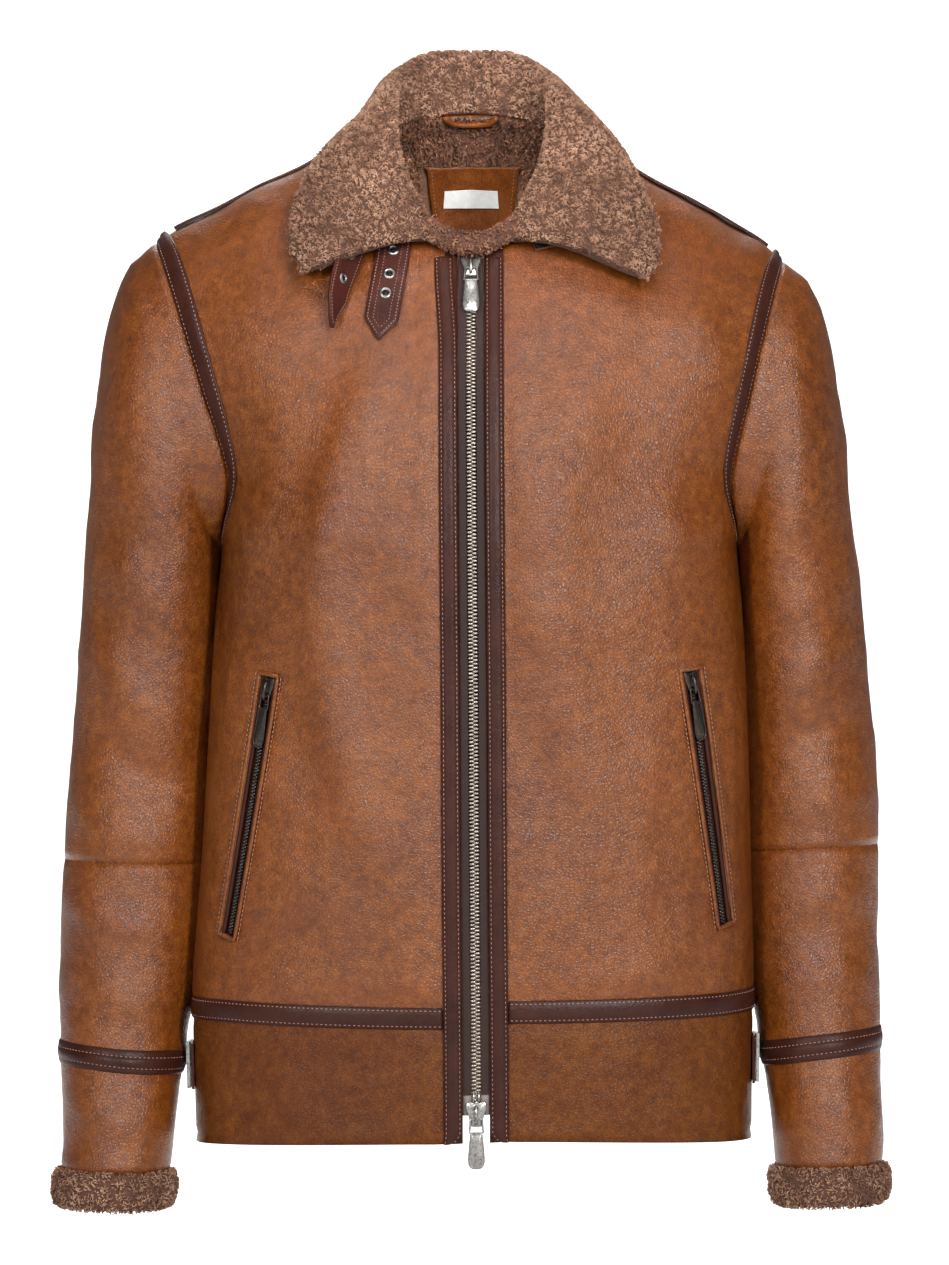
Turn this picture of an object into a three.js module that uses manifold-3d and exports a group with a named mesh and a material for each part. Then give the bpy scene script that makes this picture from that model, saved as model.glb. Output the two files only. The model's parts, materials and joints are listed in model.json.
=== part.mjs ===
// Shearling coat with a fur collar, filled out as if worn, with no wearer.
// Millimetres. Z is up, the front faces -Y, the wearer's left is +X, and the
// origin lies between the shoulders at the height of the side neck points.
import * as THREE from 'three';
import { mergeVertices } from 'three/addons/utils/BufferGeometryUtils.js';
import Module from 'manifold-3d';

const wasm = await Module();
wasm.setup();

// Driving sizes
const WALL = 6;             // hide and pile together
const SEAM = 0.3;           // gap between two pieces at a seam
const HALF_SEAM = SEAM / 2;
const STRIP = 1.5;          // leather strips over the seams
const HEM_Z = -711.5;
const WAIST_Z = -622;       // seam between body and hem band
const WAIST_STRIP_TOP = -614.5;
const WAIST_STRIP_BOTTOM = -630;
const ARMPIT_Z = -290;
const TIP_X = 225;          // shoulder tip
const TIP_Z = -80;
const NECK_X = 74;          // side neck point
const NECK_Z = 8;
const FRONT_NECK_DROP = 94;
const BACK_NECK_RISE = 18;
const SHOULDER_Y = 5;       // the shoulder seam lies a little behind the origin
const OPENING_X = 9.4;      // front panel's edge, beside the zip
const PLACKET_X = 23;       // outer side of the placket
const TRIM_WIDTH = 13;      // strip round the armhole
const ARM_STEPS = 10;       // facets up the front of the armhole
const RING = 2 * ARM_STEPS; // facets round a sleeve
const PILLAR = new THREE.Vector3(205, 4, -185);  // middle of the armhole

const vec = (x, y, z) => new THREE.Vector3(x, y, z);
const lerp = THREE.MathUtils.lerp;
const clamp = THREE.MathUtils.clamp;
const radians = THREE.MathUtils.degToRad;

function table(names, rows) {
  const keys = names.split(' ');
  return rows.map((row) => Object.fromEntries(keys.map((key, index) => [key, row[index]])));
}

// Smooth curve through one column of a table, held level past its ends
function curve(rows, key, value, wanted) {
  const last = rows.length - 1;
  const held = clamp(value, rows[0][key], rows[last][key]);
  let low = 0;
  while (low < last - 1 && held > rows[low + 1][key]) low += 1;
  const slope = (index) => {
    const before = rows[Math.max(index - 1, 0)];
    const after = rows[Math.min(index + 1, last)];
    return (after[wanted] - before[wanted]) / (after[key] - before[key]);
  };
  const step = rows[low + 1][key] - rows[low][key];
  const t = (held - rows[low][key]) / step;
  const start = rows[low][wanted];
  const end = rows[low + 1][wanted];
  const ease = t * t * (3 - 2 * t);
  const startPull = step * slope(low) * t * (1 - t) * (1 - t);
  const endPull = step * slope(low + 1) * t * t * (1 - t);
  return start + (end - start) * ease + startPull - endPull;
}

// The torso at each height: half width, depth at the middle of the front and
// of the back, and where the side seam lies
const TORSO = table('z half front back side', [
  [-709, 199, -120, 114, -16],
  [-622, 200, -122, 112, -18],
  [-520, 195, -126, 110, -20],
  [-400, 190, -128, 115, -20],
  [-345, 187.5, -130, 121, -12],
  [-303, 185, -131, 126, 5],
  [-290, 184, -131, 127, 5],
  [-250, 184, -129, 128, 5],
  [-200, 184, -122, 127, 5],
  [-150, 184, -108, 125, 5],
  [-86, 184, -80, 116, 5],
  [-50, 184, -62, 108, 5],
  [-20, 184, -45, 98, 5],
  [26, 184, -28, 81, 5],
]);

// Seam between body and sleeve, from the armpit to the shoulder tip
const ARMHOLE = table('z x', [
  [-290, 184],
  [-250, 177],
  [-218, 184],
  [-183, 194],
  [-149, 203.5],
  [-117, 213],
  [-80, 225],
]);
const ARMHOLE_FRONT = -63;  // how far forward and back the armhole reaches
const ARMHOLE_BACK = 70;
const SCYE_TURN = 90;       // height over which its lower end rounds in
const SOFT_FROM = -400;     // the chest starts to turn towards the armhole here
const EDGE_POWER = 24;      // how close to the edge the armpit's hollow stays

// Shoulder line, with its level carried on over the neck for front and back
const CROWN = table('x front back', [
  [0, 34, 75],
  [40, 20, 45],
  [74, 8, 8],
  [123, -23, -23],
  [155, -38.5, -38.5],
  [183, -54, -54],
  [211, -69, -69],
  [225, -80, -80],
]);
const TOP_ROUND = { front: 120, back: 100 };  // height over which the top rounds over
const ROUND = { front: 2.4, back: 2.2 };      // squareness of a level section

// Uneven hang of the real coat: sideways shift of the middle, torso and
// sleeves, and by how much the left side sits higher than the right
const HANG = table('z middle torso sleeve middleRise torsoRise sleeveRise', [
  [-768, 1.3, 0, -2.8, 0.5, 0.5, 1.4],
  [-709, 1.3, 0, -1.5, 0.9, 0.9, 2.5],
  [-655, 1.1, 0, -3, 1.6, 1.6, 5],
  [-620, 0.8, 0, -3.4, 2.3, 2.3, 5.2],
  [-560, 0.2, 1.5, -3.5, 4, 4, 5.6],
  [-475, -0.4, 3, -1.5, 3.4, 3.4, 5.2],
  [-400, -0.8, 4, -2, 2.2, 2.2, 4],
  [-260, -2, 4, -3.6, 0, 0, 1],
  [-190, -2.4, 3, -4.7, 0, -1, -2],
  [-115, -2.5, 1.5, -5, 0, -4, -6],
  [-75, -2.5, 1, -5, 0, -5, -7],
  [60, -2.5, 0, -5, 0, -5, -7],
]);

const smoothstep = (value, from, to) => THREE.MathUtils.smoothstep(value, from, to);

function settle(point) {
  const side = Math.abs(point.x);
  const toTorso = smoothstep(side, 60, 170);
  const toSleeve = smoothstep(side, 170, 250);
  const at = (column) => curve(HANG, 'z', point.z, column);
  const torso = lerp(at('middle'), at('torso'), toTorso);
  const shift = lerp(torso, at('sleeve'), toSleeve);
  const torsoRise = lerp(at('middleRise'), at('torsoRise'), toTorso);
  const rise = lerp(torsoRise, at('sleeveRise'), toSleeve);
  const share = Math.sign(point.x) * smoothstep(side, 0, 25);
  point.x += shift;
  point.z += rise * share;
  return point;
}

const armholeX = (z) => curve(ARMHOLE, 'z', z, 'x');
const edgeX = (z) => (z > ARMPIT_Z ? armholeX(z) : curve(TORSO, 'z', z, 'half'));
const crownZ = (x) => curve(CROWN, 'x', Math.abs(x), 'front');

// How far round a level section has turned at its edge
const rowTurn = (z) => radians(90 - 29 * smoothstep(z, ARMPIT_Z, ARMPIT_Z + SCYE_TURN));

function scyeShare(z) {
  const below = clamp((ARMPIT_Z + SCYE_TURN - z) / SCYE_TURN, 0, 1);
  return Math.sqrt(1 - below * below);
}

// Outer face of the body as a depth over the level across and the height
function bodyY(face, x, z) {
  const turn = rowTurn(z);
  const wide = edgeX(z) / Math.sin(turn);
  const power = ROUND[face];
  const bulge = (share) => Math.pow(Math.max(1 - Math.pow(share, power), 0), 1 / power);
  const end = bulge(Math.sin(turn));
  const level = (bulge(Math.min(Math.abs(x) / wide, 1)) - end) / (1 - end);
  const middle = curve(TORSO, 'z', z, face);
  const seam = curve(TORSO, 'z', z, 'side');
  const armhole = face === 'front' ? ARMHOLE_FRONT : ARMHOLE_BACK;
  const edge = lerp(seam, armhole, scyeShare(z));
  const side = lerp(seam, armhole, smoothstep(z, SOFT_FROM, ARMPIT_Z + SCYE_TURN));
  const near = Math.pow(Math.min(Math.abs(x) / edgeX(z), 1), EDGE_POWER);
  const full = lerp(side, middle, level) + (edge - side) * near;
  const drop = clamp((curve(CROWN, 'x', Math.abs(x), face) - z) / TOP_ROUND[face], 0, 1);
  return SHOULDER_Y + (full - SHOULDER_Y) * Math.sqrt(1 - (1 - drop) * (1 - drop));
}

const bodyPoint = (face, x, z) => vec(x, bodyY(face, x, z), z);

// The waist seam curves up towards the sides and the hem curves down
const DROOP = table('z side', [
  [-712, -5],
  [-682, -2],
  [-645, 2.5],
  [-622, 4],
  [-565, 3],
  [-510, 0],
]);
const droopZ = (x, z) => z + curve(DROOP, 'z', z, 'side') * Math.pow(x / 200, 2);

function bodyNormal(face, x, z) {
  const step = 0.5;
  const across = (bodyY(face, x + step, z) - bodyY(face, x - step, z)) / (2 * step);
  const up = (bodyY(face, x, z + step) - bodyY(face, x, z - step)) / (2 * step);
  const normal = vec(across, -1, up).normalize();
  return face === 'front' ? normal : normal.negate();
}

function necklineZ(face, x) {
  const inside = Math.min(Math.abs(x) / NECK_X, 1);
  const cosine = Math.sqrt(1 - inside * inside);
  const drop = face === 'front' ? -FRONT_NECK_DROP * cosine : BACK_NECK_RISE * cosine * cosine;
  return NECK_Z + drop;
}

const topZ = (face, x) => (Math.abs(x) < NECK_X ? necklineZ(face, x) : crownZ(x));

// Level rows of a panel
const armholeRowZ = (step) => {
  const middle = (ARMPIT_Z + TIP_Z) / 2;
  const half = (TIP_Z - ARMPIT_Z) / 2;
  return middle - half * Math.cos((Math.PI * step) / ARM_STEPS);
};
const UPPER_ROWS = Array.from({ length: ARM_STEPS + 1 }, (_, step) => armholeRowZ(step));
const LOWER_ROWS = [-345, -400, -455, -510, -565];
const BODY_ROWS = [
  WAIST_Z + HALF_SEAM, WAIST_STRIP_TOP, ...LOWER_ROWS.toReversed(), ARMPIT_Z - TRIM_WIDTH, ...UPPER_ROWS,
];
const BAND_ROWS = [HEM_Z, -682, -645, WAIST_STRIP_BOTTOM, WAIST_Z - HALF_SEAM];

// Where the columns of a panel meet its top edge
const TOP_COLUMNS = {
  front: [OPENING_X, PLACKET_X, 40, 56, 68, NECK_X, 98, 127, 160, 190],
  back: [0, 24, 46, 64, NECK_X, 98, 127, 160, 190],
};

// Angle on a level section that lies some distance in from its edge
function angleIn(face, z, distance) {
  const turn = rowTurn(z);
  const wide = edgeX(z) / Math.sin(turn);
  const at = (angle) => bodyPoint(face, wide * Math.sin(angle), z);
  const edge = at(turn);
  let near = turn;
  let far = turn - 0.8;
  for (let pass = 0; pass < 30; pass += 1) {
    const middle = (near + far) / 2;
    if (at(middle).distanceTo(edge) < distance) near = middle;
    else far = middle;
  }
  return near;
}

// One row of a panel's outer face, from the middle to the edge, for +X
function panelRow(face, edgeZ) {
  const tops = TOP_COLUMNS[face];
  const fixed = face === 'front' ? 1 : 0;
  const topTrim = Math.asin(((TIP_X - TRIM_WIDTH * 0.85) / TIP_X) * Math.sin(rowTurn(TIP_Z)));
  const topWide = TIP_X / Math.sin(rowTurn(TIP_Z));
  const topInner = Math.asin(tops[fixed] / topWide);
  const turn = rowTurn(edgeZ);
  const wide = edgeX(edgeZ) / Math.sin(turn);
  const inner = Math.asin(tops[fixed] / wide);
  const upTop = edgeZ >= TIP_Z - 0.01;
  const trim = upTop ? topTrim : angleIn(face, edgeZ, TRIM_WIDTH);
  const climb = Math.max(edgeZ - ARMPIT_Z, 0) / (TIP_Z - ARMPIT_Z);
  const place = (x, topX) => {
    const z = edgeZ > ARMPIT_Z ? lerp(ARMPIT_Z, topZ(face, topX), climb) : droopZ(x, edgeZ);
    return bodyPoint(face, x, z);
  };
  const row = tops.map((topX, column) => {
    if (column <= fixed) return place(topX, topX);
    const share = (Math.asin(topX / topWide) - topInner) / (topTrim - topInner);
    return place(wide * Math.sin(lerp(inner, trim, share)), topX);
  });
  row.push(place(wide * Math.sin(trim), topWide * Math.sin(topTrim)));
  const edge = edgeX(edgeZ);
  row.push(bodyPoint(face, edge, droopZ(edge, edgeZ)));
  return row;
}

// Unit normals of a grid of points, by differences between neighbours
function gridNormals(points, flip) {
  const rows = points.length;
  const columns = points[0].length;
  return points.map((row, r) => row.map((_, c) => {
    const up = points[Math.min(r + 1, rows - 1)][c].clone().sub(points[Math.max(r - 1, 0)][c]);
    const along = row[Math.min(c + 1, columns - 1)].clone().sub(row[Math.max(c - 1, 0)]);
    return along.cross(up).normalize().multiplyScalar(flip);
  }));
}

// Closed body from triangles over a list of points, with its faces out
function closedBody(points, triangles) {
  let volume = 0;
  triangles.forEach(([a, b, c]) => {
    volume += points[a].dot(points[b].clone().cross(points[c]));
  });
  const faces = volume < 0 ? triangles.map(([a, b, c]) => [a, c, b]) : triangles;
  const geometry = new THREE.BufferGeometry();
  geometry.setAttribute('position', new THREE.Float32BufferAttribute(points.flatMap((p) => p.toArray()), 3));
  geometry.setIndex(faces.flat());
  return geometry;
}

// Wall between two grids of points; wrapColumns joins the last column to the first
function wall(outer, inner, { wrapColumns = false, wrapRows = false } = {}) {
  const rows = outer.length;
  const columns = outer[0].length;
  const points = [...outer.flat(), ...inner.flat()];
  const at = (layer, r, c) => layer * rows * columns + (r % rows) * columns + (c % columns);
  const triangles = [];
  const quad = (a, b, c, d) => triangles.push([a, b, c], [a, c, d]);
  const apart = (a, b) => points[a].distanceTo(points[b]);
  const rowCells = wrapRows ? rows : rows - 1;
  const columnCells = wrapColumns ? columns : columns - 1;
  // Each cell is split along its shorter diagonal, the same way on both faces
  for (let r = 0; r < rowCells; r += 1) {
    for (let c = 0; c < columnCells; c += 1) {
      const [a, b, d, e] = [at(0, r, c), at(0, r, c + 1), at(0, r + 1, c + 1), at(0, r + 1, c)];
      const behind = rows * columns;
      if (apart(a, d) <= apart(b, e)) {
        quad(a, b, d, e);
        quad(e + behind, d + behind, b + behind, a + behind);
      } else {
        quad(b, d, e, a);
        quad(b + behind, a + behind, e + behind, d + behind);
      }
    }
  }
  if (!wrapRows) {
    for (let c = 0; c < columnCells; c += 1) {
      quad(at(1, 0, c), at(1, 0, c + 1), at(0, 0, c + 1), at(0, 0, c));
      const end = rows - 1;
      quad(at(0, end, c), at(0, end, c + 1), at(1, end, c + 1), at(1, end, c));
    }
  }
  if (!wrapColumns) {
    for (let r = 0; r < rowCells; r += 1) {
      quad(at(0, r, 0), at(0, r + 1, 0), at(1, r + 1, 0), at(1, r, 0));
      const end = columns - 1;
      quad(at(1, r, end), at(1, r + 1, end), at(0, r + 1, end), at(0, r, end));
    }
  }
  return closedBody(points, triangles);
}

// Solid through a row of sections, each a closed run of points
function loft(sections) {
  const count = sections[0].length;
  const points = sections.flat();
  const triangles = [];
  const apart = (a, b) => points[a].distanceTo(points[b]);
  for (let s = 0; s < sections.length - 1; s += 1) {
    for (let i = 0; i < count; i += 1) {
      const a = s * count + i;
      const b = s * count + ((i + 1) % count);
      if (apart(a, b + count) <= apart(b, a + count)) {
        triangles.push([a, b, b + count], [a, b + count, a + count]);
      } else {
        triangles.push([a, b, a + count], [b, b + count, a + count]);
      }
    }
  }
  const end = (sections.length - 1) * count;
  for (let i = 1; i < count - 1; i += 1) {
    triangles.push([0, i + 1, i], [end, end + i, end + i + 1]);
  }
  return closedBody(points, triangles);
}

// Colours
function finish(color, roughness, metalness = 0) {
  return new THREE.MeshStandardMaterial({ color, roughness, metalness });
}

const suede = finish(0x96552a, 0.7);
const trimLeather = finish(0x55332a, 0.45);
const fur = finish(0xa07a62, 0.95);
const tapeCloth = finish(0x4a3026, 0.9);
const brass = finish(0xb9a070, 0.35, 1);
const silver = finish(0x77736c, 0.4, 1);
const labelCloth = finish(0xe6e1d8, 0.8);

const coat = new THREE.Group();

function add(name, geometry, material) {
  const position = geometry.getAttribute('position');
  const point = vec(0, 0, 0);
  for (let index = 0; index < position.count; index += 1) {
    settle(point.fromBufferAttribute(position, index));
    position.setXYZ(index, point.x, point.y, point.z);
  }
  geometry.deleteAttribute('uv');
  geometry.computeVertexNormals();
  const mesh = new THREE.Mesh(geometry, material);
  mesh.name = name;
  coat.add(mesh);
}

const SIDES = [['left', 1], ['right', -1]];
const mirrored = (point, side) => vec(point.x * side, point.y, point.z);
const moved = (point, direction, amount) => point.clone().addScaledVector(direction, amount);

// Panels: outer points, the directions in which their walls are thick, and inner points
function panel(face, rowHeights) {
  const flip = face === 'front' ? 1 : -1;
  const away = face === 'front' ? -1 : 1;
  const outer = rowHeights.map((z) => panelRow(face, z));
  const natural = gridNormals(outer, flip);
  const lastRow = outer.length - 1;
  const lastColumn = outer[0].length - 1;
  const reachesTop = rowHeights[lastRow] >= TIP_Z - 0.01;
  const thick = natural.map((row, r) => row.map((normal, c) => {
    const point = outer[r][c];
    const direction = normal.clone();
    const atTop = reachesTop && r === lastRow;
    if (atTop && point.x < NECK_X - 0.01) {
      if (c === 0) direction.x = 0;
      return direction.normalize();
    }
    if (c === lastColumn && rowHeights[r] >= ARMPIT_Z) {
      return point.clone().sub(PILLAR).normalize();
    }
    if (atTop) {
      const slope = (crownZ(point.x + 1) - crownZ(point.x - 1)) / 2;
      return vec(-slope, 0, 1).normalize();
    }
    if (c === lastColumn) return vec(1, 0, 0);
    if (c === 0) direction.x = 0;
    if (r === 0 || (!reachesTop && r === lastRow)) direction.z = 0;
    return direction.normalize();
  }));
  outer.forEach((row, r) => {
    row[lastColumn].y += away * HALF_SEAM;
    if (reachesTop && r === lastRow) {
      row.forEach((point) => {
        if (point.x >= NECK_X - 0.01) point.y = SHOULDER_Y + away * HALF_SEAM;
      });
    }
  });
  const inner = outer.map((row, r) => row.map((point, c) => moved(point, thick[r][c], -WALL)));
  return { face, outer, natural, thick, inner, rowHeights };
}

function spread(grid, side) {
  return grid.map((row) => row.map((point) => mirrored(point, side)));
}

// Both halves of a back grid as one, sharing the middle column
function wholeWidth(grid) {
  return grid.map((row) => [
    ...row.slice(1).toReversed().map((point) => mirrored(point, -1)),
    ...row,
  ]);
}

const frontBody = panel('front', BODY_ROWS);
const frontBand = panel('front', BAND_ROWS);
const backBody = panel('back', BODY_ROWS);
const backBand = panel('back', BAND_ROWS);

// Booleans on closed geometries
function solidOf(geometry) {
  const bare = geometry.clone();
  bare.deleteAttribute('normal');
  bare.deleteAttribute('uv');
  const merged = mergeVertices(bare, 1e-5);
  return new wasm.Manifold(new wasm.Mesh({
    numProp: 3,
    vertProperties: Float32Array.from(merged.getAttribute('position').array),
    triVerts: Uint32Array.from(merged.index.array),
  }));
}

function geometryOf(solid) {
  const mesh = solid.getMesh();
  const geometry = new THREE.BufferGeometry();
  geometry.setAttribute('position', new THREE.Float32BufferAttribute(mesh.vertProperties, 3));
  geometry.setIndex(Array.from(mesh.triVerts));
  return geometry;
}

const joined = (...parts) => geometryOf(parts.map(solidOf).reduce((sum, part) => sum.add(part)));
const cutFrom = (whole, tool) => geometryOf(solidOf(whole).subtract(solidOf(tool)));

// Slanted pocket openings in the fronts
const POCKET_TOP = { x: 148, z: -382 };
const POCKET_BOTTOM = { x: 176, z: -565.5 };
const POCKET_HALF = 7;
const POCKET_STEPS = 8;

// A frame on the body: a point, the way out, the way down a line and the way across it
function bodyFrame(face, x, z, alongX, alongZ) {
  const at = bodyPoint(face, x, z);
  const out = bodyNormal(face, x, z);
  const down = vec(alongX, 0, alongZ);
  const next = bodyPoint(face, x + alongX, z + alongZ);
  down.copy(next.sub(at));
  down.addScaledVector(out, -down.dot(out)).normalize();
  return { at, out, down, across: out.clone().cross(down) };
}

function pocketFrame(share) {
  const x = lerp(POCKET_TOP.x, POCKET_BOTTOM.x, share);
  const z = lerp(POCKET_TOP.z, POCKET_BOTTOM.z, share);
  const runX = POCKET_BOTTOM.x - POCKET_TOP.x;
  const runZ = POCKET_BOTTOM.z - POCKET_TOP.z;
  const length = Math.hypot(runX, runZ);
  return bodyFrame('front', x, z, runX / length, runZ / length);
}

// Box section across a frame, between two sides and two heights
function frameSection(frame, left, right, low, high) {
  const corner = (x, height) => moved(moved(frame.at, frame.across, x), frame.out, height);
  return [corner(left, low), corner(right, low), corner(right, high), corner(left, high)];
}

function pocketRun(half, low, high, from, to) {
  return Array.from({ length: POCKET_STEPS + 1 }, (_, step) => {
    const share = lerp(from, to, step / POCKET_STEPS);
    return frameSection(pocketFrame(share), -half, half, low, high);
  });
}

const pocketCutter = loft(pocketRun(POCKET_HALF, -14, 9, 0, 1));
const frontPanel = cutFrom(wall(frontBody.outer, frontBody.inner), pocketCutter);

function mirroredGeometry(geometry, side) {
  const position = geometry.getAttribute('position');
  const points = [];
  for (let index = 0; index < position.count; index += 1) {
    points.push(vec(position.getX(index) * side, position.getY(index), position.getZ(index)));
  }
  const triangles = [];
  for (let index = 0; index < geometry.index.count; index += 3) {
    triangles.push([0, 1, 2].map((corner) => geometry.index.getX(index + corner)));
  }
  return closedBody(points, triangles);
}

SIDES.forEach(([name, side]) => {
  add(`front_${name}`, mirroredGeometry(frontPanel, side), suede);
  add(`band_front_${name}`, wall(spread(frontBand.outer, side), spread(frontBand.inner, side)), suede);
});
add('back', wall(wholeWidth(backBody.outer), wholeWidth(backBody.inner)), suede);
add('band_back', wall(wholeWidth(backBand.outer), wholeWidth(backBand.inner)), suede);

// Sleeves: a ring at the armhole, then sections down the arm
const SLEEVE = table('outX outZ inX inZ depth midY', [
  [244, -94, 188.4, -298, 67.5, 5],
  [254, -115, 188.6, -307, 68.5, 6],
  [261.5, -142, 188.6, -318, 69.5, 8],
  [266.5, -175, 188.6, -333, 70, 10],
  [270.8, -213, 188.3, -350, 69, 12],
  [273.3, -242, 188.4, -367, 67.5, 14],
  [278.2, -300, 188.8, -395, 65, 16],
  [284, -360, 190, -428, 62, 16],
  [288, -410, 191.5, -462, 59.5, 15],
  [292.3, -464, 193, -491, 57, 13],
  [293.8, -512, 194, -516, 55, 10],
  [294.3, -560, 196.5, -560, 52, 6],
  [295, -600, 200.5, -600, 49.5, 1],
  [294.5, -641, 205.5, -650, 46.5, -6],
  [294.4, -649.5, 207.2, -659, 46, -8],
  [294.3, -658, 208.8, -667.5, 45.5, -9],
  [294, -698, 213, -698, 44, -17],
  [294, -736, 216.5, -738, 42, -24],
]);
const ELBOW = 10;           // row of the table at each seam
const CUFF_STRIP_TOP = 13;
const CUFF_SEAM = 14;
const CUFF_STRIP_BOTTOM = 15;
const SLEEVE_END = 17;

function sleeveRing(row, grow = 0) {
  const { outX, outZ, inX, inZ, depth, midY } = SLEEVE[row];
  const middle = vec((outX + inX) / 2, midY, (outZ + inZ) / 2);
  const reach = vec((outX - inX) / 2, 0, (outZ - inZ) / 2);
  const length = reach.length();
  reach.multiplyScalar((length + grow) / length);
  return Array.from({ length: RING }, (_, index) => {
    const angle = (2 * Math.PI * index) / RING;
    const point = moved(middle, reach, -Math.cos(angle));
    point.y -= (depth + grow) * Math.sin(angle);
    return point;
  });
}

// The armhole's own ring, just outside the body's edge and any strip under it
function armholeRing(grow = 0) {
  const firstRow = BODY_ROWS.indexOf(UPPER_ROWS[0]);
  return Array.from({ length: RING }, (_, index) => {
    const step = index <= ARM_STEPS ? index : RING - index;
    const source = index <= ARM_STEPS ? frontBody : backBody;
    const point = source.outer[firstRow + step].at(-1).clone();
    const low = (1 + Math.cos((Math.PI * step) / ARM_STEPS)) / 2;
    if (step === 0 || step === ARM_STEPS) point.y = curve(TORSO, 'z', ARMPIT_Z, 'side');
    point.add(point.clone().sub(PILLAR).normalize().multiplyScalar(grow));
    point.x += SEAM + 2.1 * Math.pow(low, 4);
    return point;
  });
}

function alongArm(ring, axis, amount) {
  return ring.map((point) => moved(point, axis, amount));
}

function ringAxis(row) {
  const { outX, outZ, inX, inZ } = SLEEVE[row];
  return vec(outZ - inZ, 0, inX - outX).normalize();
}

function sleevePart(first, last) {
  const ringsOf = (grow) => {
    const rings = [];
    for (let row = first; row <= last; row += 1) {
      let ring = row < 0 ? armholeRing(grow) : sleeveRing(row, grow);
      if (row === first && row > 0) ring = alongArm(ring, ringAxis(row), HALF_SEAM);
      if (row === last && row < SLEEVE_END) ring = alongArm(ring, ringAxis(row), -HALF_SEAM);
      rings.push(ring);
    }
    return rings;
  };
  return [ringsOf(0), ringsOf(-WALL)];
}

function cuffFur() {
  const profile = table('out down', [
    [0, SEAM],
    [3, 0.5],
    [5, 6],
    [5, 17],
    [2.5, 24],
    [-3, 26.5],
    [-8, 23],
    [-9, 12],
    [-7.5, 2],
    [-6, SEAM],
  ]);
  const axis = ringAxis(SLEEVE_END);
  return profile.map(({ out, down }) => alongArm(sleeveRing(SLEEVE_END, out), axis, down));
}

SIDES.forEach(([name, side]) => {
  const make = (piece, [outer, inner], material) => {
    add(`${piece}_${name}`, wall(spread(outer, side), spread(inner, side), { wrapColumns: true }), material);
  };
  make('sleeve_upper', sleevePart(-1, ELBOW), suede);
  make('sleeve_lower', sleevePart(ELBOW, CUFF_SEAM), suede);
  make('sleeve_cuff', sleevePart(CUFF_SEAM, SLEEVE_END), suede);
  const strip = [CUFF_STRIP_TOP, CUFF_SEAM, CUFF_STRIP_BOTTOM];
  make('cuff_strip', [
    strip.map((row) => sleeveRing(row, SEAM + STRIP)),
    strip.map((row) => sleeveRing(row, SEAM)),
  ], trimLeather);
});

SIDES.forEach(([name, side]) => {
  const section = cuffFur();
  add(`cuff_fur_${name}`, torus(section.map((ring) => ring.map((point) => mirrored(point, side)))), fur);
});

// Strips over the seams, made from the panels' own points
const rectangle = (low, high, lowOut, highOut, lift, thick) => [
  moved(low, lowOut, lift),
  moved(high, highOut, lift),
  moved(high, highOut, lift + thick),
  moved(low, lowOut, lift + thick),
];

// A point partway along a panel's row, by its distance from the middle
function onRow(grid, row, x) {
  const points = grid[row];
  let column = 0;
  while (column < points.length - 2 && points[column + 1].x < x) column += 1;
  const t = (x - points[column].x) / (points[column + 1].x - points[column].x);
  return points[column].clone().lerp(points[column + 1], t);
}

function waistStripSections(body, band, startX) {
  const bandTop = band.outer.length - 1;
  const firstColumn = startX > 0 ? 1 : 0;
  return body.outer[0].slice(firstColumn).map((_, index) => {
    const column = index + firstColumn;
    const take = (grid, row) => {
      const first = index === 0 && startX > 0;
      return first ? onRow(grid, row, startX) : grid[row][column].clone();
    };
    const low = take(band.outer, bandTop - 1);
    const middle = take(band.outer, bandTop).lerp(take(body.outer, 0), 0.5);
    const high = take(body.outer, 1);
    const out = body.thick[0][column];
    return [
      moved(low, out, SEAM),
      moved(middle, out, SEAM),
      moved(high, out, SEAM),
      moved(high, out, SEAM + STRIP),
      moved(middle, out, SEAM + STRIP),
      moved(low, out, SEAM + STRIP),
    ];
  });
}

const mirrorSections = (sections, side) => sections.map((run) => run.map((point) => mirrored(point, side)));

const frontWaist = waistStripSections(frontBody, frontBand, PLACKET_X + SEAM);
const backWaist = waistStripSections(backBody, backBand, 0);
SIDES.forEach(([name, side]) => {
  add(`waist_strip_${name}`, loft(mirrorSections(frontWaist, side)), trimLeather);
});
const rightOfBack = mirrorSections(backWaist.slice(1), -1).toReversed();
add('waist_strip_back', loft([...rightOfBack, ...backWaist]), trimLeather);

// Armhole strip: both ends meet at the side seam under the arm
function armholeStripSections() {
  const lastRow = BODY_ROWS.length - 1;
  const firstRow = BODY_ROWS.indexOf(UPPER_ROWS[0]) - 1;
  const section = (source, row) => {
    const inside = source.outer[row].at(-2);
    const edge = source.outer[row].at(-1);
    const crown = row === lastRow;
    const normals = crown ? source.thick[row] : source.natural[row];
    return rectangle(inside, edge, normals.at(-2), normals.at(crown ? -2 : -1), SEAM, STRIP);
  };
  const sections = [];
  for (let row = firstRow; row <= lastRow; row += 1) sections.push(section(frontBody, row));
  for (let row = lastRow - 1; row >= firstRow; row -= 1) sections.push(section(backBody, row));
  return sections;
}

// Shoulder strip: along the crown from the collar to the armhole strip
const SHOULDER_STRIP_REACH = 6.5;
const SHOULDER_STRIP_LIFT = 3 * SEAM;   // clear of the rounding between two columns
const SHOULDER_STRIP_START = { across: 4, down: 2.52 };
const SHOULDER_STRIP_STOP = { across: 6 * SEAM, up: 5 * SEAM };

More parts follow.
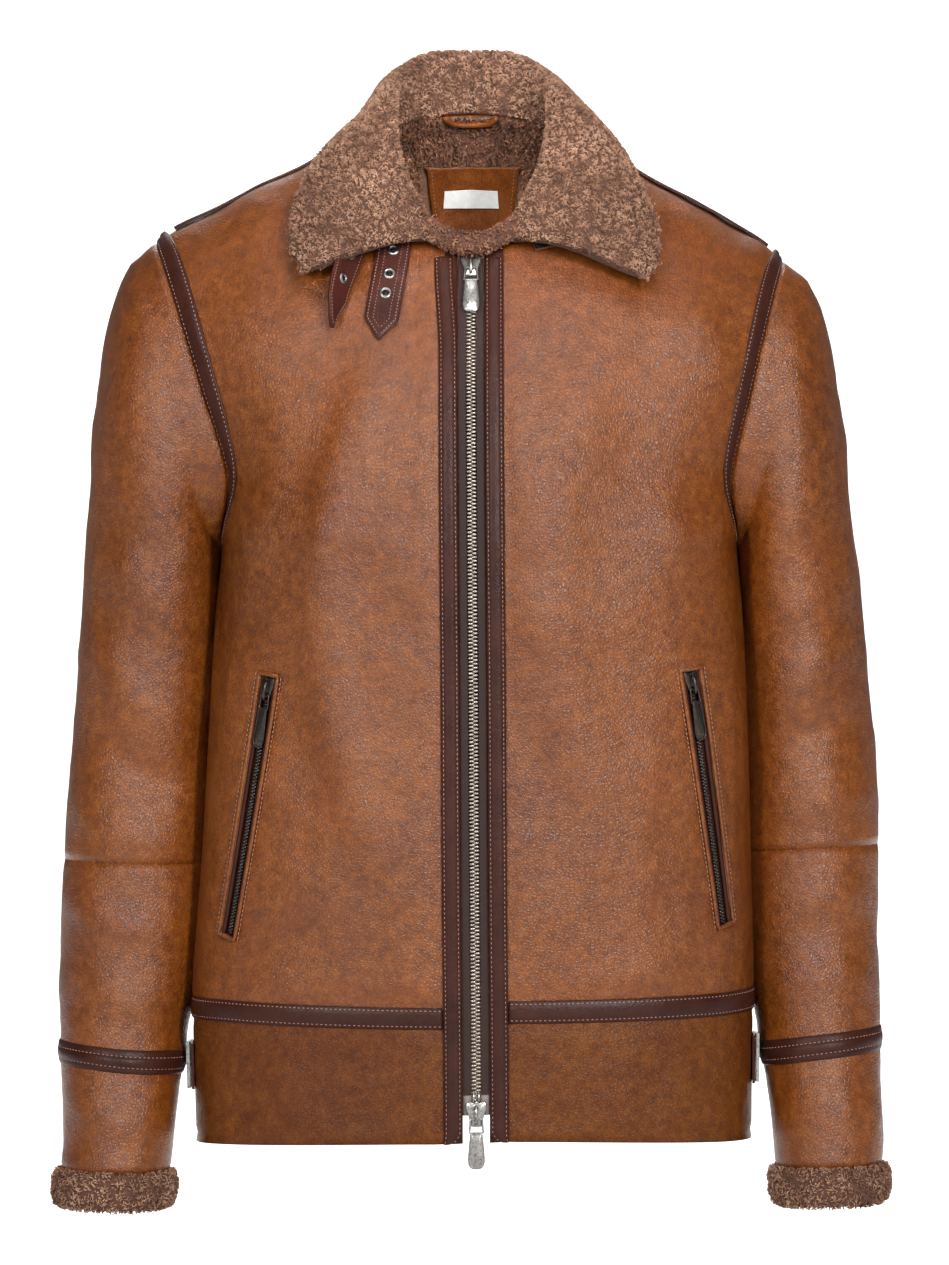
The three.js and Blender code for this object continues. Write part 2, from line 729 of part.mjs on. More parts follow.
function shoulderStripSections() {
  const lastRow = BODY_ROWS.length - 1;
  const neckColumn = TOP_COLUMNS.front.indexOf(NECK_X);
  const lastColumn = frontBody.outer[0].length - 2;
  const sections = [];
  for (let column = neckColumn; column <= lastColumn; column += 1) {
    const fold = frontBody.outer[lastRow][column].clone();
    const backColumn = column - neckColumn + TOP_COLUMNS.back.indexOf(NECK_X);
    const side = (source, index) => {
      const down = source.outer[lastRow - 1][index].clone().sub(fold).normalize();
      return moved(fold, down, SHOULDER_STRIP_REACH);
    };
    const front = side(frontBody, column);
    const back = side(backBody, backColumn);
    const up = frontBody.thick[lastRow][column];
    const forward = up.clone().add(frontBody.natural[lastRow - 1][column]).normalize();
    const rearward = up.clone().add(backBody.natural[lastRow - 1][backColumn]).normalize();
    const low = SHOULDER_STRIP_LIFT;
    const run = [
      moved(front, forward, low),
      moved(fold, up, low),
      moved(back, rearward, low),
      moved(back, rearward, low + STRIP),
      moved(fold, up, low + STRIP),
      moved(front, forward, low + STRIP),
    ];
    run.forEach((point) => {
      if (column === neckColumn) {
        point.x += SHOULDER_STRIP_START.across;
        point.z -= SHOULDER_STRIP_START.down;
      }
      if (column === lastColumn) {
        point.x -= SHOULDER_STRIP_STOP.across;
        point.z += SHOULDER_STRIP_STOP.up;
      }
    });
    sections.push(run);
  }
  return sections;
}

SIDES.forEach(([name, side]) => {
  add(`armhole_strip_${name}`, loft(mirrorSections(armholeStripSections(), side)), trimLeather);
  add(`shoulder_strip_${name}`, loft(mirrorSections(shoulderStripSections(), side)), trimLeather);
});

// Front edge of the panels, from hem to neckline: a point, the way across and the way out
const EDGE_FRAMES = [frontBand, frontBody].flatMap((source) => source.outer.map((row, r) => ({
  at: row[0],
  across: row[1].clone().sub(row[0]).divideScalar(PLACKET_X - OPENING_X),
  out: source.thick[r][0].x > 0.05 ? vec(0, -1, 0) : source.thick[r][0],
})));

function edgeFrame(z) {
  let low = 0;
  while (low < EDGE_FRAMES.length - 2 && EDGE_FRAMES[low + 1].at.z < z) low += 1;
  const from = EDGE_FRAMES[low];
  const to = EDGE_FRAMES[low + 1];
  const t = (z - from.at.z) / (to.at.z - from.at.z);
  return {
    at: from.at.clone().lerp(to.at, t),
    across: from.across.clone().lerp(to.across, t),
    out: from.out.clone().lerp(to.out, t).normalize(),
  };
}

// Runs a section of [x, height] pairs up the front edge
function edgeRun(section, bottomZ, topZ) {
  const heights = EDGE_FRAMES.map((frame) => frame.at.z).filter((z) => z > bottomZ + 1 && z < topZ - 1);
  return [bottomZ, ...heights, topZ].map((z) => {
    const frame = edgeFrame(z);
    return section.map(([x, height]) => {
      const point = moved(frame.at, frame.across, x - OPENING_X);
      return moved(point, frame.out, height);
    });
  });
}

const PLACKET_TOP = -91.5;
const PLACKET_LIFT = 3.4;
const PLACKET_EDGE = 1.6;
const placketSection = [
  [OPENING_X + SEAM, SEAM],
  [OPENING_X + SEAM, PLACKET_EDGE],
  [OPENING_X + 3.3, PLACKET_LIFT],
  [PLACKET_X - 3.3, PLACKET_LIFT],
  [PLACKET_X - SEAM, PLACKET_EDGE],
  [PLACKET_X - SEAM, SEAM],
];

// Main zip, seen from the front: slider, chain, slider
const CHAIN_EDGE = 3.5;
const TAPE_TOP = -90;
const TAPE_BOTTOM = -692;
const TOP_SLIDER_Z = -90;
const MAIN_SLIDER = 15;     // length of a main slider
const BOTTOM_SLIDER_Z = -685;
const block = (x0, x1, low, high) => [[x0, low], [x1, low], [x1, high], [x0, high]];
const tapeSection = block(CHAIN_EDGE + SEAM, OPENING_X - SEAM, -3.2, -2);
const chainSection = block(HALF_SEAM, CHAIN_EDGE, -3.9, -0.9);

SIDES.forEach(([name, side]) => {
  const placket = edgeRun(placketSection, HEM_Z, PLACKET_TOP);
  const tape = edgeRun(tapeSection, TAPE_BOTTOM, TAPE_TOP);
  add(`placket_${name}`, loft(mirrorSections(placket, side)), trimLeather);
  add(`zip_tape_${name}`, loft(mirrorSections(tape, side)), tapeCloth);
  const chain = edgeRun(chainSection, BOTTOM_SLIDER_Z + SEAM, TOP_SLIDER_Z - MAIN_SLIDER - SEAM);
  add(`zip_chain_${name}`, loft(mirrorSections(chain, side)), brass);
});

function torus(rings) {
  const rows = rings.length;
  const columns = rings[0].length;
  const points = rings.flat();
  const at = (r, c) => (r % rows) * columns + (c % columns);
  const triangles = [];
  for (let r = 0; r < rows; r += 1) {
    for (let c = 0; c < columns; c += 1) {
      triangles.push([at(r, c), at(r, c + 1), at(r + 1, c + 1)], [at(r, c), at(r + 1, c + 1), at(r + 1, c)]);
    }
  }
  return closedBody(points, triangles);
}

// Collar: one hide that stands on the neckline and folds over, wool outwards.
// Each row is a section from the neck seam over the fold to the falling edge,
// by the angle round the neck from the middle of the front.
const COLLAR = table('angle k1x k1y k1z k2x k2y k2z ex ey ez', [
  [7, 40, -96, -66, 86, -102, -92, 120, -96, -103],
  [30, 32, -84, -34, 78, -80, -52, 129, -84, -86],
  [50, 42, -60, 0, 72, -56, -20, 128, -62, -58],
  [70, 45, -30, 26, 68, -34, 12, 118, -38, -30],
  [90, 46, 6, 52, 62, 4, 38, 103, 3, -4],
  [120, 46, 46, 72, 58, 62, 52, 88, 68, -8],
  [150, 28, 72, 86, 34, 98, 84, 48, 112, -20],
  [180, 0, 76, 90, 0, 108, 86, 0, 122, -24],
  [210, -28, 72, 86, -34, 98, 84, -48, 112, -20],
]);
const COLLAR_RUN = table('share half', [
  [0, 3],
  [0.1, 4.2],
  [0.24, 5.5],
  [0.38, 5.5],
  [0.52, 5.5],
  [0.66, 5.5],
  [0.82, 5.5],
  [0.94, 4.6],
  [1, 2],
]);

// Neckline of the panels with the way up off its rim
function neckSpots() {
  const spots = [];
  [['front', frontBody], ['back', backBody]].forEach(([face, source]) => {
    const outer = source.outer.at(-1);
    const inner = source.inner.at(-1);
    const count = TOP_COLUMNS[face].indexOf(NECK_X) + 1;
    const run = [];
    for (let column = 0; column < count; column += 1) {
      const tilt = Math.asin(Math.min(outer[column].x / NECK_X, 1));
      const degrees = (tilt * 180) / Math.PI;
      const angle = face === 'front' ? degrees : 180 - degrees;
      const before = outer[Math.max(column - 1, 0)];
      const after = outer[Math.min(column + 1, count - 1)];
      const thick = outer[column].clone().sub(inner[column]).normalize();
      const up = after.clone().sub(before).cross(thick).normalize();
      if (face === 'front') up.negate();
      if (column === count - 1) up.set(-0.85, 0, 0.53).normalize();
      run.push({ angle, outer: outer[column].clone(), inner: inner[column].clone(), up, thick });
    }
    if (face === 'back') run.reverse().shift();
    spots.push(...run);
  });
  const fine = [];
  spots.forEach((spot, index) => {
    fine.push(spot);
    const next = spots[index + 1];
    if (!next) return;
    fine.push({
      angle: (spot.angle + next.angle) / 2,
      outer: spot.outer.clone().lerp(next.outer, 0.5),
      inner: spot.inner.clone().lerp(next.inner, 0.5),
      up: spot.up.clone().add(next.up).normalize(),
      thick: spot.thick.clone().add(next.thick).normalize(),
    });
  });
  return fine;
}

function collarBody() {
  const spots = neckSpots();
  const base = COLLAR_RUN[0].half;
  const mids = [];
  const starts = [];
  spots.forEach((spot) => {
    const flat = 1 - smoothstep(spot.angle, 50, 90);
    const leather = spot.thick.clone().lerp(spot.up.clone().negate(), flat).normalize();
    const start = spot.outer.clone().lerp(spot.inner, 0.5);
    start.addScaledVector(spot.up, 3 * SEAM + flat * base);
    const at = (column) => curve(COLLAR, 'angle', spot.angle, column);
    const bezier = new THREE.CubicBezierCurve3(
      start,
      vec(at('k1x'), at('k1y'), at('k1z')),
      vec(at('k2x'), at('k2y'), at('k2z')),
      vec(at('ex'), at('ey'), at('ez')),
    );
    mids.push(COLLAR_RUN.map(({ share }) => bezier.getPoint(share)));
    starts.push(leather);
  });
  const whole = [
    ...mids.map((run) => run.map((point) => mirrored(point, -1))),
    ...mids.slice(0, -1).toReversed(),
  ];
  const leatherStarts = [
    ...starts.map((direction) => mirrored(direction, -1)),
    ...starts.slice(0, -1).toReversed(),
  ];
  const normals = gridNormals(whole, 1);
  const middle = mids.length - 1;
  if (normals[middle][1].y < 0) normals.forEach((run) => run.forEach((normal) => normal.negate()));
  const last = whole.length - 1;
  const shell = (sign) => whole.map((run, station) => run.map((point, index) => {
    const ending = station === 0 || station === last ? 0.5 : 1;
    const direction = index === 0 ? leatherStarts[station] : normals[station][index];
    return moved(point, direction, sign * COLLAR_RUN[index].half * (index === 0 ? 1 : ending));
  }));
  return wall(shell(1), shell(-1));
}
add('collar', collarBody(), fur);

// Straight-sided solid of an outline in (u, v), placed by a function of u, v and depth
function prism(outline, depth, place, holes = []) {
  const shape = new THREE.Shape(outline.map(([u, v]) => new THREE.Vector2(u, v)));
  holes.forEach((hole) => shape.holes.push(new THREE.Path(hole.map(([u, v]) => new THREE.Vector2(u, v)))));
  const raw = new THREE.ExtrudeGeometry(shape, { depth, bevelEnabled: false, steps: 1 });
  raw.deleteAttribute('normal');
  raw.deleteAttribute('uv');
  const merged = mergeVertices(raw, 1e-5);
  const position = merged.getAttribute('position');
  const points = [];
  for (let index = 0; index < position.count; index += 1) {
    points.push(place(position.getX(index), position.getY(index), position.getZ(index)));
  }
  const triangles = [];
  for (let index = 0; index < merged.index.count; index += 3) {
    triangles.push([0, 1, 2].map((corner) => merged.index.getX(index + corner)));
  }
  return closedBody(points, triangles);
}

const box = (left, right, top, bottom) => [[left, top], [right, top], [right, bottom], [left, bottom]];

const placeIn = (frame, x, height, down) => {
  const point = moved(moved(frame.at, frame.across, x), frame.out, height);
  return moved(point, frame.down, down);
};

// Zip hardware in a frame on the zip's line: x across, height out, and down
const BRIDGE_HALF = 1.3;
const BRIDGE_TOP = 0.8;     // from the slider's top to its bridge
const BRIDGE_BAR = 2;
const BRIDGE_ROOT = 0.4;    // how far the bridge sinks into the plate
const BRIDGE_RISE = 4;
const BRIDGE_CORNER = 0.8;
const PIVOT_DOWN = 9.4;     // from the slider's top to the pull's crossbar
const PIVOT_ROOM = 1.4;     // from the crossbar to the end of the bridge's gap
const PIVOT_RISE = 1.2;     // from the slider's plate to the crossbar's middle
const PULL_HALF_THICK = 0.8;
const PULL_NECK = 4;        // half widths of the pull's head and waist
const PULL_WAIST = 3.2;
const PULL_WAIST_DOWN = 8;
const PULL_EYE = { half: 2.1, top: 0.8, bottom: 5 };
const PULL_END = [[1, 8], [1, 4.5], [0.7, 1.3]];  // share of the half width, height over the end

function sliderBody(frame, { plate, length, outline }) {
  const body = prism(outline, length, (x, height, down) => placeIn(frame, x, height, down));
  const start = BRIDGE_TOP + BRIDGE_BAR;
  const stop = PIVOT_DOWN + PIVOT_ROOM;
  const root = plate - BRIDGE_ROOT;
  const under = plate + 2 * PIVOT_RISE;
  const top = plate + BRIDGE_RISE;
  const arch = [
    [BRIDGE_TOP, root],
    [start, root],
    [start, under],
    [stop, under],
    [stop, root],
    [stop + BRIDGE_BAR, root],
    [stop + BRIDGE_BAR, top - BRIDGE_CORNER],
    [stop, top],
    [start, top],
    [BRIDGE_TOP, top - BRIDGE_CORNER],
  ];
  const bridge = prism(arch, 2 * BRIDGE_HALF, (down, height, depth) => (
    placeIn(frame, depth - BRIDGE_HALF, height, down)));
  return joined(body, bridge);
}

function pullTab(frame, { plate, width, length }) {
  const side = (sign) => [
    [sign * PULL_NECK, -PULL_EYE.top],
    [sign * PULL_NECK, PULL_EYE.bottom + PULL_EYE.top / 2],
    [sign * PULL_WAIST, PULL_WAIST_DOWN],
    ...PULL_END.map(([share, height]) => [(sign * share * width) / 2, length - height]),
  ];
  const outline = [...side(1), [0, length], ...side(-1).toReversed()];
  const ring = box(-PULL_EYE.half, PULL_EYE.half, PULL_EYE.top, PULL_EYE.bottom);
  const middle = plate + PIVOT_RISE;
  return prism(outline, 2 * PULL_HALF_THICK, (x, down, depth) => (
    placeIn(frame, x, middle - PULL_HALF_THICK + depth, PIVOT_DOWN + down)), [ring]);
}

function zipFrame(topZ, length) {
  const from = edgeFrame(topZ);
  const to = edgeFrame(topZ - length);
  const down = to.at.clone().sub(from.at).setX(0).normalize();
  const out = vec(0, down.z, -down.y);
  const at = moved(from.at, from.across, -OPENING_X).setX(0);
  return { at, out, down, across: out.clone().cross(down) };
}

// Two plates joined by a web that runs between the tapes
const MAIN_PLATE = { half: 7.3, low: -1.7, high: 0.9 };
const REAR_PLATE = { half: 6.6, low: -5.1, high: -3.5 };
const WEB_HALF = 3.3;
const MAIN_PULL = { width: 12, length: 35.5 };
const mainSide = (sign) => [
  [sign * REAR_PLATE.half, REAR_PLATE.low],
  [sign * REAR_PLATE.half, REAR_PLATE.high],
  [sign * WEB_HALF, REAR_PLATE.high],
  [sign * WEB_HALF, MAIN_PLATE.low],
  [sign * MAIN_PLATE.half, MAIN_PLATE.low],
  [sign * MAIN_PLATE.half, MAIN_PLATE.high],
];
const mainProfile = [...mainSide(1), ...mainSide(-1).toReversed()];
[['top', TOP_SLIDER_Z], ['bottom', BOTTOM_SLIDER_Z]].forEach(([name, z]) => {
  const frame = zipFrame(z, MAIN_SLIDER);
  const plate = MAIN_PLATE.high;
  add(`zip_slider_${name}`, sliderBody(frame, { plate, length: MAIN_SLIDER, outline: mainProfile }), silver);
  add(`zip_pull_${name}`, pullTab(frame, { plate, ...MAIN_PULL }), silver);
});

// Pocket zips lie inside their openings
const FACING_LOW = -4.8;
const FACING_HIGH = -3.6;
const POCKET_SLIDER = 13;
const POCKET_SLIDER_TOP = 5;
const POCKET_CHAIN = { half: 2.2, thick: 1.4 };
const POCKET_PULL = { width: 9.6, length: 38 };
const POCKET_LENGTH = pocketFrame(0).at.distanceTo(pocketFrame(1).at);
const pocketShare = (millimetres) => millimetres / POCKET_LENGTH;
const pocketPlate = -0.3;
const pocketProfile = block(-4.2, 4.2, FACING_HIGH + SEAM, pocketPlate);

SIDES.forEach(([name, side]) => {
  const edge = pocketShare(SEAM);
  const chainTop = pocketShare(POCKET_SLIDER_TOP + POCKET_SLIDER + SEAM);
  const chainLow = FACING_HIGH + SEAM;
  const frame = pocketFrame(pocketShare(POCKET_SLIDER_TOP));
  const facing = loft(pocketRun(POCKET_HALF - SEAM, FACING_LOW, FACING_HIGH, edge, 1 - edge));
  const chain = loft(pocketRun(
    POCKET_CHAIN.half, chainLow, chainLow + POCKET_CHAIN.thick, chainTop, 1 - 4 * edge));
  const spec = { plate: pocketPlate, length: POCKET_SLIDER, outline: pocketProfile };
  const pull = pullTab(frame, { plate: pocketPlate, ...POCKET_PULL });
  add(`pocket_facing_${name}`, mirroredGeometry(facing, side), trimLeather);
  add(`pocket_chain_${name}`, mirroredGeometry(chain, side), silver);
  add(`pocket_slider_${name}`, mirroredGeometry(sliderBody(frame, spec), side), silver);
  add(`pocket_pull_${name}`, mirroredGeometry(pull, side), silver);
});

// Collar straps on the right side: one flat, one turned on edge
const STRAP_LOW = { front: 0.6, rear: 1.6 };
const STRAP_THICK = 3.4;
const STRAPS = {
  front: table('x z half turn', [
    [60, -74, 12, 0],
    [60.5, -90, 12, 0],
    [61.5, -110, 12, 0],
    [63, -130, 12, 0],
    [63.8, -140, 11, 0],
    [64.2, -146, 7.5, 0],
    [64.5, -149.5, 3.5, 0],
  ]),
  rear: table('x z half turn', [
    [88.8, -80, 10, 0],
    [90.5, -95, 10, 6],
    [92, -106, 10, 28],
    [94, -117, 10, 50],
    [95.5, -130, 10, 60],
    [96.5, -139, 8, 60],
    [97, -143, 3, 60],
  ]),
};

function strapSections(rows, low) {
  return rows.map((row, index) => {
    const next = rows[Math.min(index + 1, rows.length - 1)];
    const before = rows[Math.max(index - 1, 0)];
    const runX = next.x - before.x;
    const runZ = next.z - before.z;
    const length = Math.hypot(runX, runZ);
    const frame = bodyFrame('front', row.x, row.z, runX / length, runZ / length);
    const turn = radians(row.turn);
    const turned = (main, other, sine) => (
      main.clone().multiplyScalar(Math.cos(turn)).addScaledVector(other, sine));
    const across = turned(frame.across, frame.out, Math.sin(turn));
    const out = turned(frame.out, frame.across, -Math.sin(turn));
    const rise = low + (STRAP_THICK / 2) * Math.cos(turn) + row.half * Math.abs(Math.sin(turn));
    const at = moved(frame.at, frame.out, rise);
    return frameSection({ at, across, out }, -row.half, row.half, -STRAP_THICK / 2, STRAP_THICK / 2);
  });
}

Object.entries(STRAPS).forEach(([name, rows]) => {
  add(`collar_strap_${name}`, loft(mirrorSections(strapSections(rows, STRAP_LOW[name]), -1)), trimLeather);
});

// Their buckles on the left side, hanging open under the wing of the collar
const FRAME_WIDE = 24;
const FRAME_TALL = 20;
const FRAME_BAR = 2.8;
const PIVOT_BAR = 2;         // square bar that the strap and the prong turn on
const EYE_HALF = 1.5;        // half the clear space round that bar
const EYE_WALL = 1.1;
const LOOP_LOW = 0.3;
const LOOP_REACH = 6;        // strap past the frame, up under the collar
const LOOP_HALF = 7;
const SLOT_HALF = 1.6;
const SLOT_REACH = 4.2;      // room for the prong's eye to turn
const PRONG_HALF = 1;
const BUCKLES = table('name x z tilt', [
  ['front', 53.9, -75.5, 20],
  ['rear', 86, -77.7, -24],
]);

BUCKLES.forEach(({ name, x, z, tilt }) => {
  const turn = radians(tilt);
  const frame = bodyFrame('front', x, z, Math.sin(turn), -Math.cos(turn));
  const barDown = (PIVOT_BAR - FRAME_TALL) / 2;
  const barHeight = LOOP_LOW + EYE_WALL + EYE_HALF;
  const flat = (across, down, depth) => placeIn(frame, across, barHeight - PIVOT_BAR / 2 + depth, down);
  const onEdge = (half) => (down, height, depth) => (
    placeIn(frame, depth - half, barHeight + height, barDown + down));

  const wide = FRAME_WIDE / 2;
  const tall = FRAME_TALL / 2;
  const opening = box(FRAME_BAR - wide, wide - FRAME_BAR, PIVOT_BAR - tall, tall - FRAME_BAR);
  const ring = prism(box(-wide, wide, -tall, tall), PIVOT_BAR, flat, [opening]);

  const inner = EYE_HALF;
  const outer = EYE_HALF + EYE_WALL;
  const loop = prism([
    [-LOOP_REACH, -outer],
    [outer, -outer],
    [outer, outer],
    [-LOOP_REACH, outer],
    [-LOOP_REACH, inner],
    [inner, inner],
    [inner, -inner],
    [-LOOP_REACH, -inner],
  ], 2 * LOOP_HALF, onEdge(LOOP_HALF));
  const slotHeight = outer + SEAM;
  const slot = box(-SLOT_REACH, outer + SEAM, -slotHeight, slotHeight);
  const slotted = cutFrom(loop, prism(slot, 2 * SLOT_HALF, onEdge(SLOT_HALF)));

  const prongEnd = FRAME_TALL - PIVOT_BAR / 2;
  const prong = prism([
    [-outer, -outer],
    [outer, -outer],
    [outer, inner],
    [prongEnd, inner],
    [prongEnd, outer],
    [-outer, outer],
  ], 2 * PRONG_HALF, onEdge(PRONG_HALF), [box(-inner, inner, -inner, inner)]);

  add(`buckle_strap_${name}`, slotted, trimLeather);
  add(`collar_buckle_${name}`, ring, silver);
  add(`buckle_prong_${name}`, prong, silver);
});

// Side adjusters: a tab round the side seam of the hem band, held by a buckle
const TAB_Z = -662;
const TAB_HALF = 15;
const TAB_LOW = 0.8;
const TAB_HIGH = 2.3;
const TAB_ENDS = [-20, -12, -4, 4, 14, 26, 38, 50];
const SIDE_BUCKLE = { behind: 9, half: 12, tall: 17, bar: 3.2, middleBar: 1.3, thick: 2.2 };

function sidePoint(behind, z) {
  const face = behind < 0 ? 'front' : 'back';
  const angle = angleIn(face, z, Math.abs(behind));
  const x = edgeX(z) * Math.sin(angle);
  const point = bodyPoint(face, x, z);
  point.z = droopZ(x, z);
  return point;
}

function sideFrame(behind, z) {
  const at = sidePoint(behind, z);
  const back = sidePoint(behind + 2, z).sub(sidePoint(behind - 2, z));
  const down = sidePoint(behind, z - 2).sub(sidePoint(behind, z + 2)).normalize();
  const out = down.clone().cross(back).normalize();
  if (out.x < 0) out.negate();
  return { at, out, down, across: out.clone().cross(down) };
}

SIDES.forEach(([name, side]) => {
  const sections = TAB_ENDS.map((behind) => {
    const spot = (z, height) => {
      const frame = sideFrame(behind, z);
      return moved(frame.at, frame.out, height);
    };
    const top = TAB_Z + TAB_HALF;
    const bottom = TAB_Z - TAB_HALF;
    return [spot(bottom, TAB_LOW), spot(top, TAB_LOW), spot(top, TAB_HIGH), spot(bottom, TAB_HIGH)];
  });
  const frame = sideFrame(SIDE_BUCKLE.behind, TAB_Z);
  const low = TAB_HIGH + SEAM;
  const { half, tall, bar, middleBar, thick } = SIDE_BUCKLE;
  const holes = [
    box(bar - half, half - bar, bar - tall, -middleBar),
    box(bar - half, half - bar, middleBar, tall - bar),
  ];
  const place = (x, down, depth) => placeIn(frame, x, low + depth, down);
  const buckle = prism(box(-half, half, -tall, tall), thick, place, holes);
  add(`side_tab_${name}`, loft(mirrorSections(sections, side)), trimLeather);
  add(`side_buckle_${name}`, mirroredGeometry(buckle, side), silver);
});

// Inside the back of the neck: a hanging loop, and a patch that carries a blank label
function insideGrid(rows, lift) {
  return rows.map(({ z, half }) => [-1, -0.5, 0, 0.5, 1].map((share) => {
    const x = half * share;
    return moved(bodyPoint('back', x, z), bodyNormal('back', x, z), -WALL - lift);
  }));
}

function insidePlate(rows, low, high) {
  return wall(insideGrid(rows, high), insideGrid(rows, low));
}

const PATCH_LOW = 3;
const PATCH_HIGH = 4.2;
const LABEL_LOW = PATCH_HIGH + 2 * SEAM;
const LABEL_THICK = 0.8;
const HANG_LOW = 1.3;
const HANG_THICK = 1.8;
const patchRows = table('z half', [
  [-57, 22],
  [-54, 25],
  [-42, 28],
  [-26, 31],
  [-12, 34],
  [-9, 36],
]);
const labelRows = table('z half', [
  [-38.5, 20.6],
  [-25, 20.6],
]);
const hangRows = table('z half', [
  [15.5, 22],
  [21.5, 22],
]);
add('neck_patch', insidePlate(patchRows, PATCH_LOW, PATCH_HIGH), suede);
add('neck_label', insidePlate(labelRows, LABEL_LOW, LABEL_LOW + LABEL_THICK), labelCloth);
add('hang_loop', insidePlate(hangRows, HANG_LOW, HANG_LOW + HANG_THICK), suede);

export default coat;
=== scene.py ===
# Looks of the shearling coat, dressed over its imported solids.
# Sizes in this script are millimetres until a mesh is made; the stage, the lights and the
# camera are in metres. Z is up and the front faces -Y.
import json
import math

import bpy
import numpy as np
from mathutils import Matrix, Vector
from mathutils.kdtree import KDTree

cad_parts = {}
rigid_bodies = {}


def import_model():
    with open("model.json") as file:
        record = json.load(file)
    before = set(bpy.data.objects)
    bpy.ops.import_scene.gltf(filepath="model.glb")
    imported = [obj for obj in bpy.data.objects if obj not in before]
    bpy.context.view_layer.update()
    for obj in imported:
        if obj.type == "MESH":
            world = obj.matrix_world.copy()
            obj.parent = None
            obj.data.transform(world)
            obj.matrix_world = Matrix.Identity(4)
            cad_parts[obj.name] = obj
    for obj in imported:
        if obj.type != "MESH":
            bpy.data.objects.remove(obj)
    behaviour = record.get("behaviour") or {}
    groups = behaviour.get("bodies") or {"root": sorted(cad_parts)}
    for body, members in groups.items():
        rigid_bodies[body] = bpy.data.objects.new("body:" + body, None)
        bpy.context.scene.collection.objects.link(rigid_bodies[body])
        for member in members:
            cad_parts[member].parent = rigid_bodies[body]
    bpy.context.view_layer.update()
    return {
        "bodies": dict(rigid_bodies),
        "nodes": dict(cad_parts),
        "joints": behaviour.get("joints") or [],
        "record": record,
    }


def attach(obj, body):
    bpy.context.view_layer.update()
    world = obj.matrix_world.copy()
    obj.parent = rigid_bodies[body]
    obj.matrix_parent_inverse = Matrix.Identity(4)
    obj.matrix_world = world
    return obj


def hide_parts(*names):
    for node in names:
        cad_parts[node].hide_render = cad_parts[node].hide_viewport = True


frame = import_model()
NODES = frame["nodes"]
BODY = "coat"
rng = np.random.default_rng(7)

# Sizes shared with the solids
WALL = 6.0
HEM_Z = -711.5
WAIST_Z = -622.0
WAIST_STRIP_TOP = -614.5
WAIST_STRIP_BOTTOM = -630.0
ARMPIT_Z = -290.0
TIP_X = 225.0
TIP_Z = -80.0
NECK_X = 74.0
NECK_Z = 8.0
FRONT_NECK_DROP = 94.0
BACK_NECK_RISE = 18.0
SHOULDER_Y = 5.0
OPENING_X = 9.4
PLACKET_X = 23.0
TRIM_WIDTH = 13.0
ARM_STEPS = 10
ARMHOLE_FRONT = -63.0
ARMHOLE_BACK = 70.0
SCYE_TURN = 90.0
SOFT_FROM = -400.0
EDGE_POWER = 24.0
TOP_ROUND = {"front": 120.0, "back": 100.0}
ROUND = {"front": 2.4, "back": 2.2}
PITCH = 3.3                 # from stitch to stitch
HEM_ROUND = 9.0


def table(names, rows):
    """Columns of numbers by their names."""
    return dict(zip(names.split(), np.array(rows, float).T))


def curve(rows, key, value, wanted):
    """Smooth curve through one column of a table, held level past its ends."""
    keys = rows[key]
    column = rows[wanted]
    last = len(keys) - 1
    held = np.clip(np.asarray(value, float), keys[0], keys[-1])
    low = np.clip(np.searchsorted(keys, held, side="left") - 1, 0, last - 1)
    index = np.arange(last + 1)
    after = np.minimum(index + 1, last)
    before = np.maximum(index - 1, 0)
    slope = (column[after] - column[before]) / (keys[after] - keys[before])
    step = keys[low + 1] - keys[low]
    t = (held - keys[low]) / step
    ease = t * t * (3 - 2 * t)
    start = column[low]
    end = column[low + 1]
    pull = step * slope[low] * t * (1 - t) ** 2 - step * slope[low + 1] * t * t * (1 - t)
    return start + (end - start) * ease + pull


TORSO = table("z half front back side", [
    [-709, 199, -120, 114, -16],
    [-622, 200, -122, 112, -18],
    [-520, 195, -126, 110, -20],
    [-400, 190, -128, 115, -20],
    [-345, 187.5, -130, 121, -12],
    [-303, 185, -131, 126, 5],
    [-290, 184, -131, 127, 5],
    [-250, 184, -129, 128, 5],
    [-200, 184, -122, 127, 5],
    [-150, 184, -108, 125, 5],
    [-86, 184, -80, 116, 5],
    [-50, 184, -62, 108, 5],
    [-20, 184, -45, 98, 5],
    [26, 184, -28, 81, 5],
])
ARMHOLE = table("z x", [
    [-290, 184], [-250, 177], [-218, 184], [-183, 194], [-149, 203.5], [-117, 213], [-80, 225],
])
CROWN = table("x front back", [
    [0, 34, 75], [40, 20, 45], [74, 8, 8], [123, -23, -23],
    [155, -38.5, -38.5], [183, -54, -54], [211, -69, -69], [225, -80, -80],
])
HANG = table("z middle torso sleeve middleRise torsoRise sleeveRise", [
    [-768, 1.3, 0, -2.8, 0.5, 0.5, 1.4],
    [-709, 1.3, 0, -1.5, 0.9, 0.9, 2.5],
    [-655, 1.1, 0, -3, 1.6, 1.6, 5],
    [-620, 0.8, 0, -3.4, 2.3, 2.3, 5.2],
    [-560, 0.2, 1.5, -3.5, 4, 4, 5.6],
    [-475, -0.4, 3, -1.5, 3.4, 3.4, 5.2],
    [-400, -0.8, 4, -2, 2.2, 2.2, 4],
    [-260, -2, 4, -3.6, 0, 0, 1],
    [-190, -2.4, 3, -4.7, 0, -1, -2],
    [-115, -2.5, 1.5, -5, 0, -4, -6],
    [-75, -2.5, 1, -5, 0, -5, -7],
    [60, -2.5, 0, -5, 0, -5, -7],
])
HANG_PARTS = ("middle", "torso", "sleeve", "middleRise", "torsoRise", "sleeveRise")
DROOP = table("z side", [
    [-712, -5], [-682, -2], [-645, 2.5], [-622, 4], [-565, 3], [-510, 0],
])
